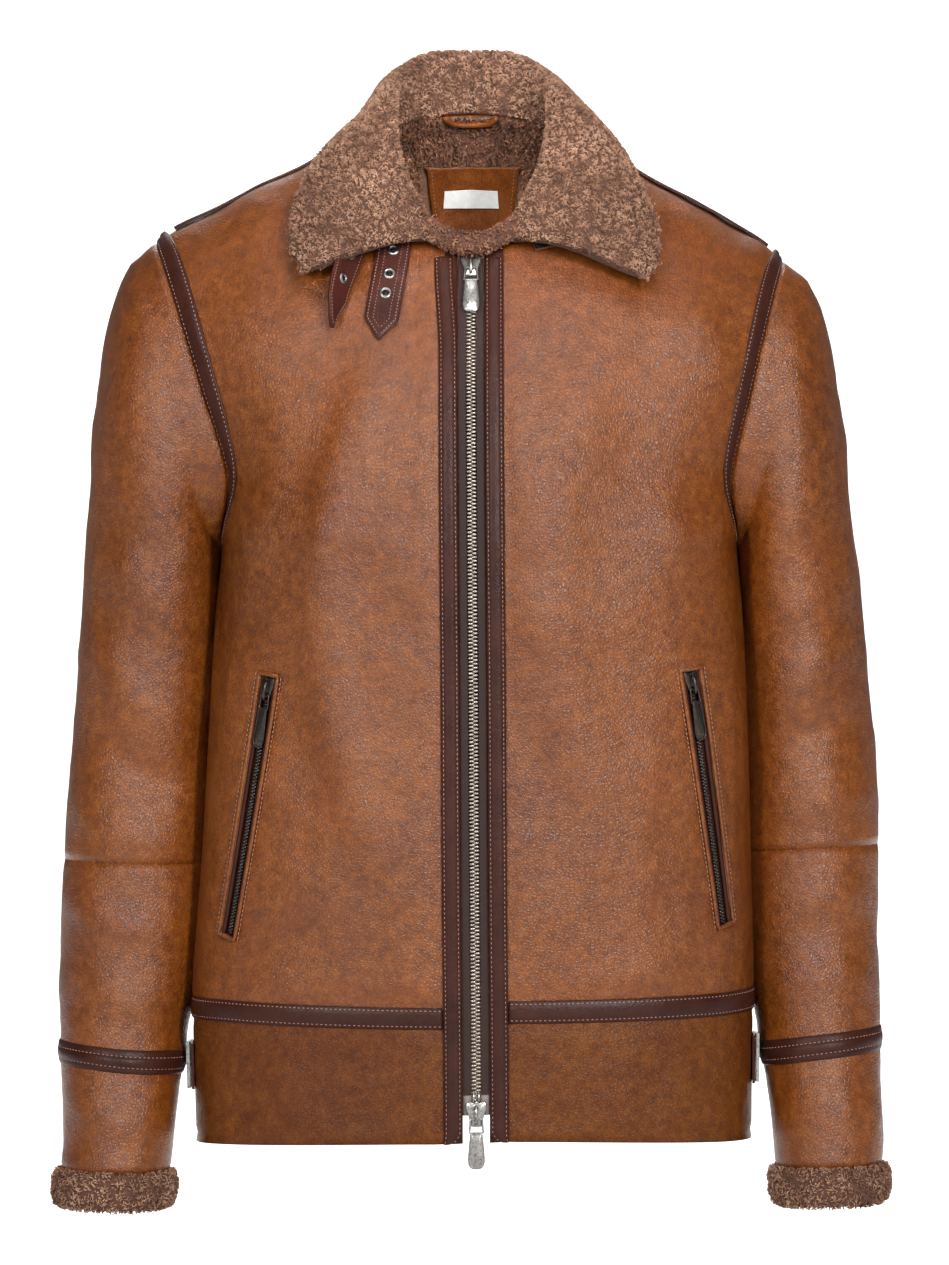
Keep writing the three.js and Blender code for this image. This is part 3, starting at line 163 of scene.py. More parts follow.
SLEEVE = table("row outX outZ inX inZ depth midY", [
    [0, 244, -94, 188.4, -298, 67.5, 5],
    [1, 254, -115, 188.6, -307, 68.5, 6],
    [2, 261.5, -142, 188.6, -318, 69.5, 8],
    [3, 266.5, -175, 188.6, -333, 70, 10],
    [4, 270.8, -213, 188.3, -350, 69, 12],
    [5, 273.3, -242, 188.4, -367, 67.5, 14],
    [6, 278.2, -300, 188.8, -395, 65, 16],
    [7, 284, -360, 190, -428, 62, 16],
    [8, 288, -410, 191.5, -462, 59.5, 15],
    [9, 292.3, -464, 193, -491, 57, 13],
    [10, 293.8, -512, 194, -516, 55, 10],
    [11, 294.3, -560, 196.5, -560, 52, 6],
    [12, 295, -600, 200.5, -600, 49.5, 1],
    [13, 294.5, -641, 205.5, -650, 46.5, -6],
    [14, 294.4, -649.5, 207.2, -659, 46, -8],
    [15, 294.3, -658, 208.8, -667.5, 45.5, -9],
    [16, 294, -698, 213, -698, 44, -17],
    [17, 294, -736, 216.5, -738, 42, -24],
])
ELBOW = 10
CUFF_SEAM = 14
SLEEVE_END = 17
COLLAR = table("angle k1x k1y k1z k2x k2y k2z ex ey ez", [
    [7, 40, -96, -66, 86, -102, -92, 120, -96, -103],
    [30, 32, -84, -34, 78, -80, -52, 129, -84, -86],
    [50, 42, -60, 0, 72, -56, -20, 128, -62, -58],
    [70, 45, -30, 26, 68, -34, 12, 118, -38, -30],
    [90, 46, 6, 52, 62, 4, 38, 103, 3, -4],
    [120, 46, 46, 72, 58, 62, 52, 88, 68, -8],
    [150, 28, 72, 86, 34, 98, 84, 48, 112, -20],
    [180, 0, 76, 90, 0, 108, 86, 0, 122, -24],
    [210, -28, 72, 86, -34, 98, 84, -48, 112, -20],
])
COLLAR_RUN = table("share half", [
    [0, 3], [0.1, 4.2], [0.24, 5.5], [0.38, 5.5], [0.52, 5.5],
    [0.66, 5.5], [0.82, 5.5], [0.94, 4.6], [1, 2],
])


def lerp(a, b, t):
    return a + (b - a) * t


def smooth(value, start, end):
    t = np.clip((value - start) / (end - start), 0, 1)
    return t * t * (3 - 2 * t)


def unit(vectors):
    return vectors / np.maximum(np.linalg.norm(vectors, axis=-1, keepdims=True), 1e-9)


def xyz(x, y, z):
    return np.stack(np.broadcast_arrays(x, y, z), axis=-1).astype(float)


def run_length(path):
    """How far each point of a path lies along it."""
    return np.concatenate([[0], np.cumsum(np.linalg.norm(np.diff(path, axis=0), axis=1))])


def facing(normals, away):
    """Normals turned to the side that another direction points to."""
    return np.where((normals * away).sum(-1, keepdims=True) < 0, -normals, normals)


def settle(points):
    """The coat's uneven hang, put on last."""
    out = np.array(points, float)
    x = out[..., 0]
    z = out[..., 2]
    side = np.abs(x)
    to_torso = smooth(side, 60, 170)
    to_sleeve = smooth(side, 170, 250)
    middle, torso, sleeve, middle_up, torso_up, sleeve_up = (curve(HANG, "z", z, part) for part in HANG_PARTS)
    shift = lerp(lerp(middle, torso, to_torso), sleeve, to_sleeve)
    rise = lerp(lerp(middle_up, torso_up, to_torso), sleeve_up, to_sleeve)
    share = np.sign(x) * smooth(side, 0, 25)
    out[..., 0] = x + shift
    out[..., 2] = z + rise * share
    return out


def edge_x(z):
    return np.where(z > ARMPIT_Z, curve(ARMHOLE, "z", z, "x"), curve(TORSO, "z", z, "half"))


def row_turn(z):
    return np.radians(90 - 29 * smooth(z, ARMPIT_Z, ARMPIT_Z + SCYE_TURN))


def body_y(face, x, z):
    """Outer face of the body as a depth over the level across and the height."""
    x = np.asarray(x, float)
    z = np.asarray(z, float)
    turn = row_turn(z)
    wide = edge_x(z) / np.sin(turn)
    power = ROUND[face]

    def bulge(share):
        return np.maximum(1 - share ** power, 0) ** (1 / power)

    end = bulge(np.sin(turn))
    level = (bulge(np.minimum(np.abs(x) / wide, 1)) - end) / (1 - end)
    middle = curve(TORSO, "z", z, face)
    seam = curve(TORSO, "z", z, "side")
    armhole = ARMHOLE_FRONT if face == "front" else ARMHOLE_BACK
    below = np.clip((ARMPIT_Z + SCYE_TURN - z) / SCYE_TURN, 0, 1)
    edge = lerp(seam, armhole, np.sqrt(1 - below ** 2))
    side = lerp(seam, armhole, smooth(z, SOFT_FROM, ARMPIT_Z + SCYE_TURN))
    near = np.minimum(np.abs(x) / edge_x(z), 1) ** EDGE_POWER
    full = lerp(side, middle, level) + (edge - side) * near
    drop = np.clip((curve(CROWN, "x", np.abs(x), face) - z) / TOP_ROUND[face], 0, 1)
    return SHOULDER_Y + (full - SHOULDER_Y) * np.sqrt(1 - (1 - drop) ** 2)


def body_point(face, x, z):
    return xyz(x, body_y(face, x, z), z)


def body_normal(face, x, z):
    step = 0.5
    across = (body_y(face, x + step, z) - body_y(face, x - step, z)) / (2 * step)
    up = (body_y(face, x, z + step) - body_y(face, x, z - step)) / (2 * step)
    normal = unit(xyz(across, -1.0, up))
    return normal if face == "front" else -normal


def droop_z(x, z):
    return z + curve(DROOP, "z", z, "side") * (np.asarray(x) / 200) ** 2


def top_z(face, x):
    inside = np.minimum(np.abs(x) / NECK_X, 1)
    cosine = np.sqrt(1 - inside ** 2)
    drop = -FRONT_NECK_DROP * cosine if face == "front" else BACK_NECK_RISE * cosine ** 2
    return np.where(np.abs(x) < NECK_X, NECK_Z + drop, curve(CROWN, "x", np.abs(x), "front"))


def armhole_z(step):
    middle = (ARMPIT_Z + TIP_Z) / 2
    half = (TIP_Z - ARMPIT_Z) / 2
    return middle - half * np.cos(math.pi * np.asarray(step, float) / ARM_STEPS)


def angle_in(face, z, distance):
    """Angle on a level section that lies some distance in from its edge."""
    turn = row_turn(z)
    wide = edge_x(z) / np.sin(turn)
    edge = body_point(face, wide * np.sin(turn), z)
    near = turn
    far = turn - 0.8
    for _ in range(30):
        middle = (near + far) / 2
        gap = np.linalg.norm(body_point(face, wide * np.sin(middle), z) - edge, axis=-1)
        near = np.where(gap < distance, middle, near)
        far = np.where(gap < distance, far, middle)
    return near


TOP_TRIM = math.asin((TIP_X - TRIM_WIDTH * 0.85) / TIP_X * math.sin(row_turn(np.array(TIP_Z))))
TOP_WIDE = TIP_X / math.sin(row_turn(np.array(TIP_Z)))


def panel_points(face, rows, places):
    """Points of a panel at each edge height and each place across: 0 to 1 is the
    front edge's band, 1 to 2 the cloth and 2 to 3 the strip round the armhole."""
    z = np.asarray(rows, float)[:, None]
    p = np.asarray(places, float)[None, :]
    start = PLACKET_X if face == "front" else 0.0
    turn = row_turn(z)
    wide = edge_x(z) / np.sin(turn)
    inner = np.arcsin(start / wide)
    top_inner = math.asin(start / TOP_WIDE)
    trim = np.where(z >= TIP_Z - 0.01, TOP_TRIM, angle_in(face, z, TRIM_WIDTH))
    climb = np.maximum(z - ARMPIT_Z, 0) / (TIP_Z - ARMPIT_Z)
    share = np.clip(p - 1, 0, 1)
    angle = lerp(inner, trim, share)
    top_x = TOP_WIDE * np.sin(lerp(top_inner, TOP_TRIM, share))
    x = wide * np.sin(angle)
    band = np.clip(p, 0, 1)
    x = np.where(p < 1, lerp(OPENING_X, PLACKET_X, band), x)
    top_x = np.where(p < 1, lerp(OPENING_X, PLACKET_X, band), top_x)
    last = np.clip(p - 2, 0, 1)
    x = np.where(p > 2, lerp(wide * np.sin(trim), edge_x(z), last), x)
    top_x = np.where(p > 2, lerp(TOP_WIDE * math.sin(TOP_TRIM), TIP_X, last), top_x)
    raised = lerp(ARMPIT_Z, top_z(face, top_x), climb)
    height = np.where(z > ARMPIT_Z, raised, droop_z(x, z + 0 * x))
    return body_point(face, x, height)


def grid_normals(points, flip=1.0):
    up = np.gradient(points, axis=0)
    along = np.gradient(points, axis=1)
    return unit(np.cross(along, up)) * flip


def wrapped_normals(points):
    """Normals of rings whose last point meets the first."""
    up = np.gradient(points, axis=0)
    along = np.roll(points, -1, axis=1) - np.roll(points, 1, axis=1)
    return unit(np.cross(along, up))


def noise(points, scale, seed):
    """Smooth noise from -1 to 1 over space, with features of the given size."""
    q = points / scale + 17.3 * seed
    cell = np.floor(q).astype(np.int64)
    f = q - cell
    f = f * f * (3 - 2 * f)
    total = 0
    for dx in (0, 1):
        for dy in (0, 1):
            for dz in (0, 1):
                i = cell[..., 0] + dx
                j = cell[..., 1] + dy
                k = cell[..., 2] + dz
                n = (i * 73856093) ^ (j * 19349663) ^ (k * 83492791) ^ (seed * 2654435)
                n = (n ^ (n >> 13)) * 1274126177 & 0x7FFFFFFF
                value = ((n >> 7) & 0xFFFF) / 32767.5 - 1
                wx = f[..., 0] if dx else 1 - f[..., 0]
                wy = f[..., 1] if dy else 1 - f[..., 1]
                wz = f[..., 2] if dz else 1 - f[..., 2]
                total = total + value * wx * wy * wz
    return total


# Meshes


def make(name, points, faces, materials, slot=None, index=None, body=BODY, replaces=()):
    """A piece from points in millimetres and faces that all have as many corners."""
    points = np.asarray(points, np.float32).reshape(-1, 3) / 1000
    faces = np.asarray(faces, np.int32)
    mesh = bpy.data.meshes.new(name)
    mesh.vertices.add(len(points))
    mesh.vertices.foreach_set("co", points.ravel())
    mesh.loops.add(faces.size)
    mesh.loops.foreach_set("vertex_index", faces.ravel())
    mesh.polygons.add(len(faces))
    mesh.polygons.foreach_set("loop_start", np.arange(0, faces.size, faces.shape[1], dtype=np.int32))
    for each in materials if isinstance(materials, (list, tuple)) else [materials]:
        mesh.materials.append(each)
    if index is not None:
        mesh.polygons.foreach_set("material_index", np.asarray(index, np.int32))
    mesh.update(calc_edges=True)
    mesh.validate()
    mesh.polygons.foreach_set("use_smooth", np.full(len(mesh.polygons), True))
    obj = bpy.data.objects.new(name, mesh)
    bpy.context.scene.collection.objects.link(obj)
    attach(obj, body)
    if replaces:
        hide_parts(*replaces)
    return obj


def outward(points, faces):
    """The faces turned so that the closed body's volume is positive."""
    flat = np.asarray(points, float).reshape(-1, 3)
    faces = np.asarray(faces)
    a, b, c = flat[faces[:, 0]], flat[faces[:, 1]], flat[faces[:, 2]]
    volume = (a * np.cross(b, c)).sum()
    if faces.shape[1] == 4:
        d = flat[faces[:, 3]]
        volume += (a * np.cross(c, d)).sum()
    return faces if volume > 0 else faces[:, ::-1]


def wall(outer, inner, wrap=False):
    """Closed wall between two grids. Returns points, quads and each quad's side."""
    rows, columns = outer.shape[:2]
    at = np.arange(rows * columns).reshape(rows, columns)
    if wrap:
        at = np.concatenate([at, at[:, :1]], axis=1)
    behind = rows * columns

    def quads(a, b, c, d):
        return np.stack([a.ravel(), b.ravel(), c.ravel(), d.ravel()], axis=1)

    front = quads(at[:-1, :-1], at[:-1, 1:], at[1:, 1:], at[1:, :-1])
    back = front[:, ::-1] + behind
    rims = [
        quads(at[0, :-1] + behind, at[0, 1:] + behind, at[0, 1:], at[0, :-1]),
        quads(at[-1, :-1], at[-1, 1:], at[-1, 1:] + behind, at[-1, :-1] + behind),
    ]
    if not wrap:
        rims.append(quads(at[:-1, 0], at[1:, 0], at[1:, 0] + behind, at[:-1, 0] + behind))
        rims.append(quads(at[:-1, -1] + behind, at[1:, -1] + behind, at[1:, -1], at[:-1, -1]))
    points = np.concatenate([outer.reshape(-1, 3), inner.reshape(-1, 3)])
    faces = np.concatenate([front, back, *rims])
    side = np.concatenate([
        np.zeros(len(front)),
        np.ones(len(back)),
        np.full(sum(len(r) for r in rims), 2),
    ]).astype(int)
    return points, outward(points, faces), side


def ring_faces(rings, corners):
    """Quads between rings of points that follow one another."""
    faces = []
    for low in range(0, (rings - 1) * corners, corners):
        high = low + corners
        for k in range(corners):
            n = (k + 1) % corners
            faces.append([low + k, low + n, high + n, high + k])
    return faces


def mirror(points, side):
    return points * np.array([side, 1, 1])


SIDES = (("left", 1), ("right", -1))


# Materials


class Nodes:
    """A short way to write a node material."""

    def __init__(self, name):
        self.material = bpy.data.materials.new(name)
        self.material.use_nodes = True
        self.tree = self.material.node_tree
        self.shader = self.tree.nodes["Principled BSDF"]
        self.coordinates = self.add("ShaderNodeTexCoord").outputs["Object"]

    def add(self, kind, **inputs):
        node = self.tree.nodes.new(kind)
        for key, value in inputs.items():
            self.set(node, key, value)
        return node

    def set(self, node, key, value):
        socket = node.inputs[int(key[1:]) if key[0] == "i" and key[1:].isdigit() else key.replace("_", " ")]
        if isinstance(value, bpy.types.NodeSocket):
            self.tree.links.new(value, socket)
        else:
            socket.default_value = value

    def noise(self, scale, detail=4.0, rough=0.55, distort=0.0):
        node = self.add("ShaderNodeTexNoise", Vector=self.coordinates, Scale=scale, Detail=detail)
        node.inputs["Roughness"].default_value = rough
        node.inputs["Distortion"].default_value = distort
        return node.outputs["Fac"]

    def cells(self, scale, feature="F1", smoothness=None):
        node = self.add("ShaderNodeTexVoronoi")
        node.feature = feature
        self.set(node, "Vector", self.coordinates)
        self.set(node, "Scale", scale)
        if smoothness is not None:
            self.set(node, "Smoothness", smoothness)
        return node.outputs["Distance"]

    def ramp(self, value, *stops):
        node = self.add("ShaderNodeValToRGB", Fac=value)
        elements = node.color_ramp.elements
        while len(elements) < len(stops):
            elements.new(0.5)
        for element, (at, colour) in zip(elements, stops):
            element.position = at
            element.color = (*colour, 1) if len(colour) == 3 else colour
        return node.outputs["Color"]

    def range(self, value, from_low, from_high, low, high):
        node = self.add("ShaderNodeMapRange")
        for position, each in enumerate((value, from_low, from_high, low, high)):
            self.set(node, f"i{position}", each)
        return node.outputs["Result"]

    def math(self, operation, a, b=0.0):
        node = self.add("ShaderNodeMath")
        node.operation = operation
        self.set(node, "i0", a)
        self.set(node, "i1", b)
        return node.outputs["Value"]

    def mix(self, factor, a, b, blend="MIX"):
        node = self.add("ShaderNodeMix")
        node.data_type = "RGBA"
        node.blend_type = blend
        self.set(node, "i0", factor)
        for position, each in ((6, a), (7, b)):
            self.set(node, f"i{position}", (*each, 1) if isinstance(each, tuple) and len(each) == 3 else each)
        return node.outputs[2]

    def bump(self, height, strength, distance, normal=None):
        node = self.add("ShaderNodeBump", Height=height, Strength=strength, Distance=distance)
        if normal is not None:
            self.set(node, "Normal", normal)
        return node.outputs["Normal"]

    def finish(self, **inputs):
        for key, value in inputs.items():
            self.set(self.shader, key, value)
        return self.material


def srgb(red, green, blue):
    def linear(value):
        value /= 255
        return value / 12.92 if value <= 0.04045 else ((value + 0.055) / 1.055) ** 2.4

    return (linear(red), linear(green), linear(blue))


def shade(colour, light):
    return srgb(*(part * light for part in colour))


def tan_leather(name="tan_leather", light=1.0, shine=0.45):
    n = Nodes(name)

    def tone(*colour):
        return shade(colour, light)

    broad = n.noise(7, 4, 0.6, 0.5)
    base = n.ramp(broad, (0.34, tone(104, 52, 11)), (0.50, tone(122, 63, 14)), (0.68, tone(138, 74, 19)))
    fine = n.noise(120, 8, 0.72, 0.3)
    mottle = n.ramp(fine, (0.34, tone(78, 36, 9)), (0.50, tone(120, 61, 14)), (0.66, tone(152, 85, 24)))
    colour = n.mix(0.55, base, mottle)
    reddish = n.range(n.noise(5, 3, 0.5, 0.8), 0.50, 0.70, 0.0, 0.42)
    colour = n.mix(reddish, colour, tone(106, 48, 18))
    stain = n.range(n.noise(26, 8, 0.78, 0.9), 0.56, 0.74, 0.0, 0.45)
    colour = n.mix(stain, colour, tone(80, 33, 12))
    # dark pores, thicker in some places than in others, and the hollows between pebbles darker, as painted
    # shade
    where = n.range(n.noise(24, 4, 0.6), 0.36, 0.62, 0.25, 1.0)
    dots = n.range(n.cells(700), 0.16, 0.44, 1.0, 0.0)
    colour = n.mix(n.math("MULTIPLY", dots, n.math("MULTIPLY", where, 0.66)), colour, tone(50, 24, 12))
    edges = n.cells(420, "DISTANCE_TO_EDGE")
    painted_valley_shade = n.range(edges, 0.0, 0.12, 0.42, 0.0)
    colour = n.mix(painted_valley_shade, colour, tone(56, 27, 14))
    pebbles = n.range(edges, 0.0, 0.26, 0.0, 1.0)
    creases = n.noise(260, 6, 0.68, 1.4)
    height = n.math("ADD", n.math("MULTIPLY", pebbles, 0.55), n.math("MULTIPLY", creases, 0.95))
    puckers = n.bump(n.noise(70, 4, 0.62, 1.2), 0.5, 0.0014)
    normal = n.bump(height, 0.6, 0.0005, puckers)
    rough = n.range(fine, 0.3, 0.7, 0.27, 0.40)
    return n.finish(Base_Color=colour, Roughness=rough, Normal=normal, **{"Specular IOR Level": shine})


def dark_leather(name="dark_leather", colour=(56, 26, 18)):
    n = Nodes(name)
    red, green, blue = colour
    patches = n.noise(42, 5, 0.6)
    base = n.ramp(
        patches,
        (0.30, srgb(red * 0.86, green * 0.85, blue * 0.85)),
        (0.72, shade(colour, 1.12)),
    )
    grain = n.cells(900, "SMOOTH_F1", 0.5)
    base = n.mix(n.range(grain, 0.0, 0.30, 0.25, 0.0), base, srgb(34, 17, 13))
    height = n.math("ADD", grain, n.math("MULTIPLY", n.noise(420, 5, 0.65, 0.8), 0.8))
    soft = n.bump(n.noise(130, 3, 0.5, 0.6), 0.45, 0.0009)
    normal = n.bump(height, 0.35, 0.0004, soft)
    rough = n.range(patches, 0.3, 0.7, 0.34, 0.46)
    return n.finish(Base_Color=base, Roughness=rough, Normal=normal, **{"Specular IOR Level": 0.2})


def wool(name, tip, middle, root, size=260, toned=False):
    """Wool; strands carry a tone, from their dark root to their pale tip, partly painted shade; without
    strands the colour follows the bump, darker in its hollows as painted shade.
    """
    n = Nodes(name)
    lumps = n.noise(size, 5, 0.7, 1.2)
    strands = n.noise(size * 4, 4, 0.7, 2.0)
    if toned:
        own = n.add("ShaderNodeAttribute")
        own.attribute_name = "tone"
        # the strands' noise lightens the colour where it raises the bump: painted light and shade
        value = n.math("ADD", own.outputs["Fac"], n.range(strands, 0.3, 0.7, -0.08, 0.08))
        colour = n.ramp(value, (0.12, srgb(*root)), (0.48, srgb(*middle)), (0.88, srgb(*tip)))
        height = strands
    else:
        # one height gives both the bump and the colour, dark where low and pale where high: painted shade in
        # the hollows
        height = n.math("ADD", n.math("MULTIPLY", lumps, 0.6), n.math("MULTIPLY", strands, 0.4))
        colour = n.ramp(height, (0.34, srgb(*root)), (0.52, srgb(*middle)), (0.70, srgb(*tip)))
    normal = n.bump(height, 0.6, 0.0015)
    n.shader.inputs["Sheen Weight"].default_value = 0.12
    n.shader.inputs["Sheen Roughness"].default_value = 0.5
    n.shader.inputs["Sheen Tint"].default_value = (*srgb(225, 190, 165), 1)
    return n.finish(Base_Color=colour, Roughness=0.8, Normal=normal)


def metal(name, colour, rough=0.30, dark=0.55):
    n = Nodes(name)
    patches = n.noise(520, 8, 0.75, 0.6)
    base = n.ramp(patches, (0.36, shade(colour, dark)), (0.50, shade(colour, 0.9)), (0.66, srgb(*colour)))
    pits = n.bump(n.noise(900, 4, 0.7), 0.22, 0.0003)
    rough = n.range(patches, 0.3, 0.7, rough + 0.14, rough)
    return n.finish(Base_Color=base, Metallic=1.0, Roughness=rough, Normal=pits)


def cloth(name, colour, size=1800):
    n = Nodes(name)
    wave = n.add("ShaderNodeTexWave", Vector=n.coordinates, Scale=size / 6, Distortion=0.6, Detail=2.0)
    patches = n.noise(200, 4, 0.6)
    value = n.math("ADD", n.math("MULTIPLY", wave.outputs["Fac"], 0.5), n.math("MULTIPLY", patches, 0.5))
    base = n.ramp(value, (0.25, shade(colour, 0.8)), (0.75, srgb(*colour)))
    return n.finish(Base_Color=base, Roughness=0.85, Normal=n.bump(value, 0.5, 0.0004))


TAN = tan_leather()
TAN_EDGE = tan_leather("tan_edge", 0.86)
PATCH_TAN = tan_leather("patch_tan", 1.0)
# the hem band's copy is darker, painted shade towards the coat's lower end, and shines less
SHADED_BAND_TAN = tan_leather("band_tan_painted_shade", 0.84, 0.2)
DARK = dark_leather()
DARK_STRAP = dark_leather("strap_leather", (66, 31, 24))
FUR = wool("collar_wool", (214, 172, 142), (158, 112, 86), (76, 43, 29), toned=True)
PILE = wool("inner_pile", (170, 126, 98), (122, 82, 60), (66, 38, 26), 200)
INNER_FUR = wool("inner_wool", (206, 150, 116), (140, 88, 60), (58, 30, 18), toned=True)
# the surface under the locks is darker than the locks, partly painted shade at the wool's base
HIDE = wool("fur_hide", (122, 82, 60), (88, 55, 39), (50, 28, 19), 300)
THREAD = cloth("thread", (172, 132, 116), 3000)
TAPE = cloth("zip_tape_cloth", (52, 34, 29), 2400)
# near-black plugs for the eyelets' holes: painted shadow
HOLE_SHADOW = dark_leather("painted_hole_shadow", (26, 18, 16))
LABEL = cloth("label_cloth", (250, 248, 244), 2400)
FILM = cloth("zip_film", (150, 138, 134), 3000)
STEEL = metal("antique_steel", (186, 183, 178), 0.26, 0.5)
GUNMETAL = metal("gunmetal", (92, 84, 78), 0.30, 0.5)
TEETH = metal("zip_teeth_metal", (196, 184, 172), 0.30, 0.6)
TEETH_DARK = metal("pocket_teeth_metal", (112, 106, 100), 0.30, 0.5)


# Cloth relief


def folds(points, rows):
    """Soft ridges and hollows along lines seen from the front: x0 z0 x1 z1 width height."""
    x = points[..., 0]
    z = points[..., 2]
    total = np.zeros(x.shape)
    for x0, z0, x1, z1, width, height in rows:
        dx, dz = x1 - x0, z1 - z0
        length = math.hypot(dx, dz)
        along = ((x - x0) * dx + (z - z0) * dz) / length
        off = ((x - x0) * dz - (z - z0) * dx) / length
        off = off + 0.10 * length * np.sin(math.pi * np.clip(along / length, 0, 1))
        fade = smooth(along, -0.25 * length, 0.3 * length) * (1 - smooth(along, 0.7 * length, 1.25 * length))
        total += height * fade * np.exp(-(off / width) ** 2)
    return total


def relief(points, amount=1.0):
    """Uneven hand of the hide: broad swells and small puckers."""
    swell = 2.0 * noise(points * [1, 0.6, 0.6], 62, 1) + 1.2 * noise(points * [1, 1, 0.8], 29, 2)
    small = 0.42 * noise(points, 12, 3) + 0.16 * noise(points, 6.5, 4)
    return amount * (swell + small)


def eased(rows, passes):
    """Rows of points evened out along their length, with both ends kept."""
    rows = np.array(rows, float)
    for _ in range(passes):
        rows[1:-1] = (rows[:-2] + 2 * rows[1:-1] + rows[2:]) / 4
    return rows


def near_edge(distance, depth, width):
    """How far cloth dips beside a seam."""
    return -depth * np.exp(-(distance / width) ** 2)


FRONT_FOLDS = [
    [150, -395, 60, -250, 26, 1.6],
    [-150, -400, -70, -240, 26, 1.8],
    [90, -640, 160, -560, 22, 1.2],
    [-100, -600, -60, -430, 30, 1.5],
    [120, -150, 60, -330, 30, -1.4],
    [-130, -160, -90, -330, 28, -1.2],
    [40, -560, 60, -380, 22, 1.2],
    [170, -330, 130, -240, 16, 2.0],
    [-172, -335, -135, -245, 16, 2.0],
    [-70, -520, -66, -150, 18, 4.4],
    [92, -500, 84, -160, 24, 5.0],
    [36, -600, 38, -170, 9, 1.4],
    [-110, -480, -112, -200, 18, -2.0],
    [-36, -640, -38, -480, 10, 1.6],
    [130, -600, 126, -440, 18, 2.0],
]


def spread_rows(low, high, step):
    """Even rows from low to high, about a step apart."""
    return np.linspace(low, high, max(int(round((high - low) / step)), 1) + 1)


GRID = 5.0


def apart(rows, least):
    """The rows without those that crowd the one before them."""
    kept = [rows[0]]
    for row in rows[1:]:
        if row - kept[-1] >= least:
            kept.append(row)
    kept[-1] = rows[-1]
    return np.array(kept)


UPPER_ROWS = apart(armhole_z(np.linspace(0, ARM_STEPS, int(300 / GRID))), 1.6)
BODY_ROWS = np.concatenate([spread_rows(WAIST_Z, ARMPIT_Z, GRID)[:-1], UPPER_ROWS])
BAND_ROWS = spread_rows(HEM_Z, WAIST_Z, GRID)
FRONT_PLACES = np.concatenate([
    np.linspace(0, 1, 4)[:-1],
    np.linspace(1, 2, int(210 / GRID))[:-1],
    np.linspace(2, 3, 4),
])
BACK_PLACES = np.concatenate([np.linspace(1, 2, int(240 / GRID))[:-1], np.linspace(2, 3, 4)])


def resting(z):
    """Where a sleeve hangs against the body's side."""
    return smooth(ARMPIT_Z + 22 - z, 0, 26) * smooth(z, -650, -590)


def dressed(face, rows, places, side=1, both=False):
    """Outer and inner grids of a body panel with its relief, settled."""
    points = panel_points(face, rows, places)
    flip = 1.0 if face == "front" else -1.0
    normals = grid_normals(points, flip)
    if both:
        left = points[:, 1:][:, ::-1] * [-1, 1, 1]
        left_normals = normals[:, 1:][:, ::-1] * [-1, 1, 1]
        points = np.concatenate([left, points], axis=1)
        normals = np.concatenate([left_normals, normals], axis=1)
    normals[..., 0] = np.where(np.abs(points[..., 0]) < OPENING_X + 0.1, 0, normals[..., 0])
    normals = unit(normals)
    outer = mirror(points, side)
    directions = mirror(normals, side)
    z = outer[..., 2]
    away = np.linalg.norm(outer - outer[:, :1], axis=-1) if not both else np.full(z.shape, 99.0)
    to_edge = np.linalg.norm(outer - outer[:, -1:], axis=-1)
    if both:
        to_edge = np.minimum(to_edge, np.linalg.norm(outer - outer[:, :1], axis=-1))
    calm = smooth(away, 10, 34) * smooth(to_edge, 2, 26)
    calm = calm * smooth(np.abs(z - WAIST_Z), 6, 24) * smooth(z - HEM_Z, 0, 16)
    offset = relief(outer) * calm
    if face == "front":
        offset = offset + folds(settle(outer), FRONT_FOLDS) * calm
        # a dip beside the front strip, and a low ridge after it
        offset = offset + near_edge(np.maximum(away - 14.5, 0), 0.9, 3.0) * (away > 10)
        offset = offset + 0.9 * np.exp(-((away - 23) / 6) ** 2)
    # dips beside the waist seam, the hem and the armhole
    offset = offset + near_edge(np.abs(z - WAIST_Z) - 7, 0.8, 4) + near_edge(z - HEM_Z, 1.2, 2.5)
    offset = offset + near_edge(to_edge, 1.4, 4) * smooth(ARMPIT_Z - z, 0, 40)
    # fuller at the side, where the sleeve rests on the body
    offset = offset + 2.6 * np.exp(-(to_edge / 14) ** 2) * resting(z)
    # the hem's corners are turned up a little beside the side seams
    bow = 1 - np.sqrt(1 - np.clip(1 - to_edge / HEM_ROUND, 0, 1) ** 2)
    outer[..., 2] += HEM_ROUND * bow * (1 - smooth(z - HEM_Z, 0, 22))
    shaped = outer + directions * offset[..., None]
    inner = outer - directions * WALL
    rough = 0.9 * noise(inner, 14, 9) + 0.5 * noise(inner, 7, 10)
    inner = inner + directions * np.minimum(rough, 1.2)[..., None] * 0.6
    return settle(shaped), settle(inner)


def cloth_panel(node, grids, wrap=False):
    """A panel of hide: leather outside, pile inside, and dark where the zip's edge is bound."""
    points, faces, side = wall(*grids, wrap=wrap)
    index = np.where(side == 1, 1, np.where(side == 2, 2, 0))
    if "front" in node:
        middle = np.abs(points[faces].mean(axis=1)[:, 0])
        index = np.where((middle < PLACKET_X - 4) & (index != 1), 3, index)
    # the hem bands get the darker copy of the tan, painted shade
    materials = [SHADED_BAND_TAN if "band" in node else TAN, PILE, TAN_EDGE, DARK]
    return make(f"{node}_cloth", points, faces, materials, "suede", index, replaces=(node,))


# Pockets

POCKET_TOP = (148.0, -382.0)
POCKET_BOTTOM = (176.0, -565.5)
POCKET_HALF = 7.0


def body_frame(face, x, z, along_x, along_z):
    """Points on the body with the ways out, along a direction on it, and across."""
    at = body_point(face, x, z)
    out = body_normal(face, x, z)
    down = body_point(face, x + along_x, z + along_z) - at
    down = unit(down - out * (down * out).sum(-1, keepdims=True))
    return at, out, down, np.cross(out, down)


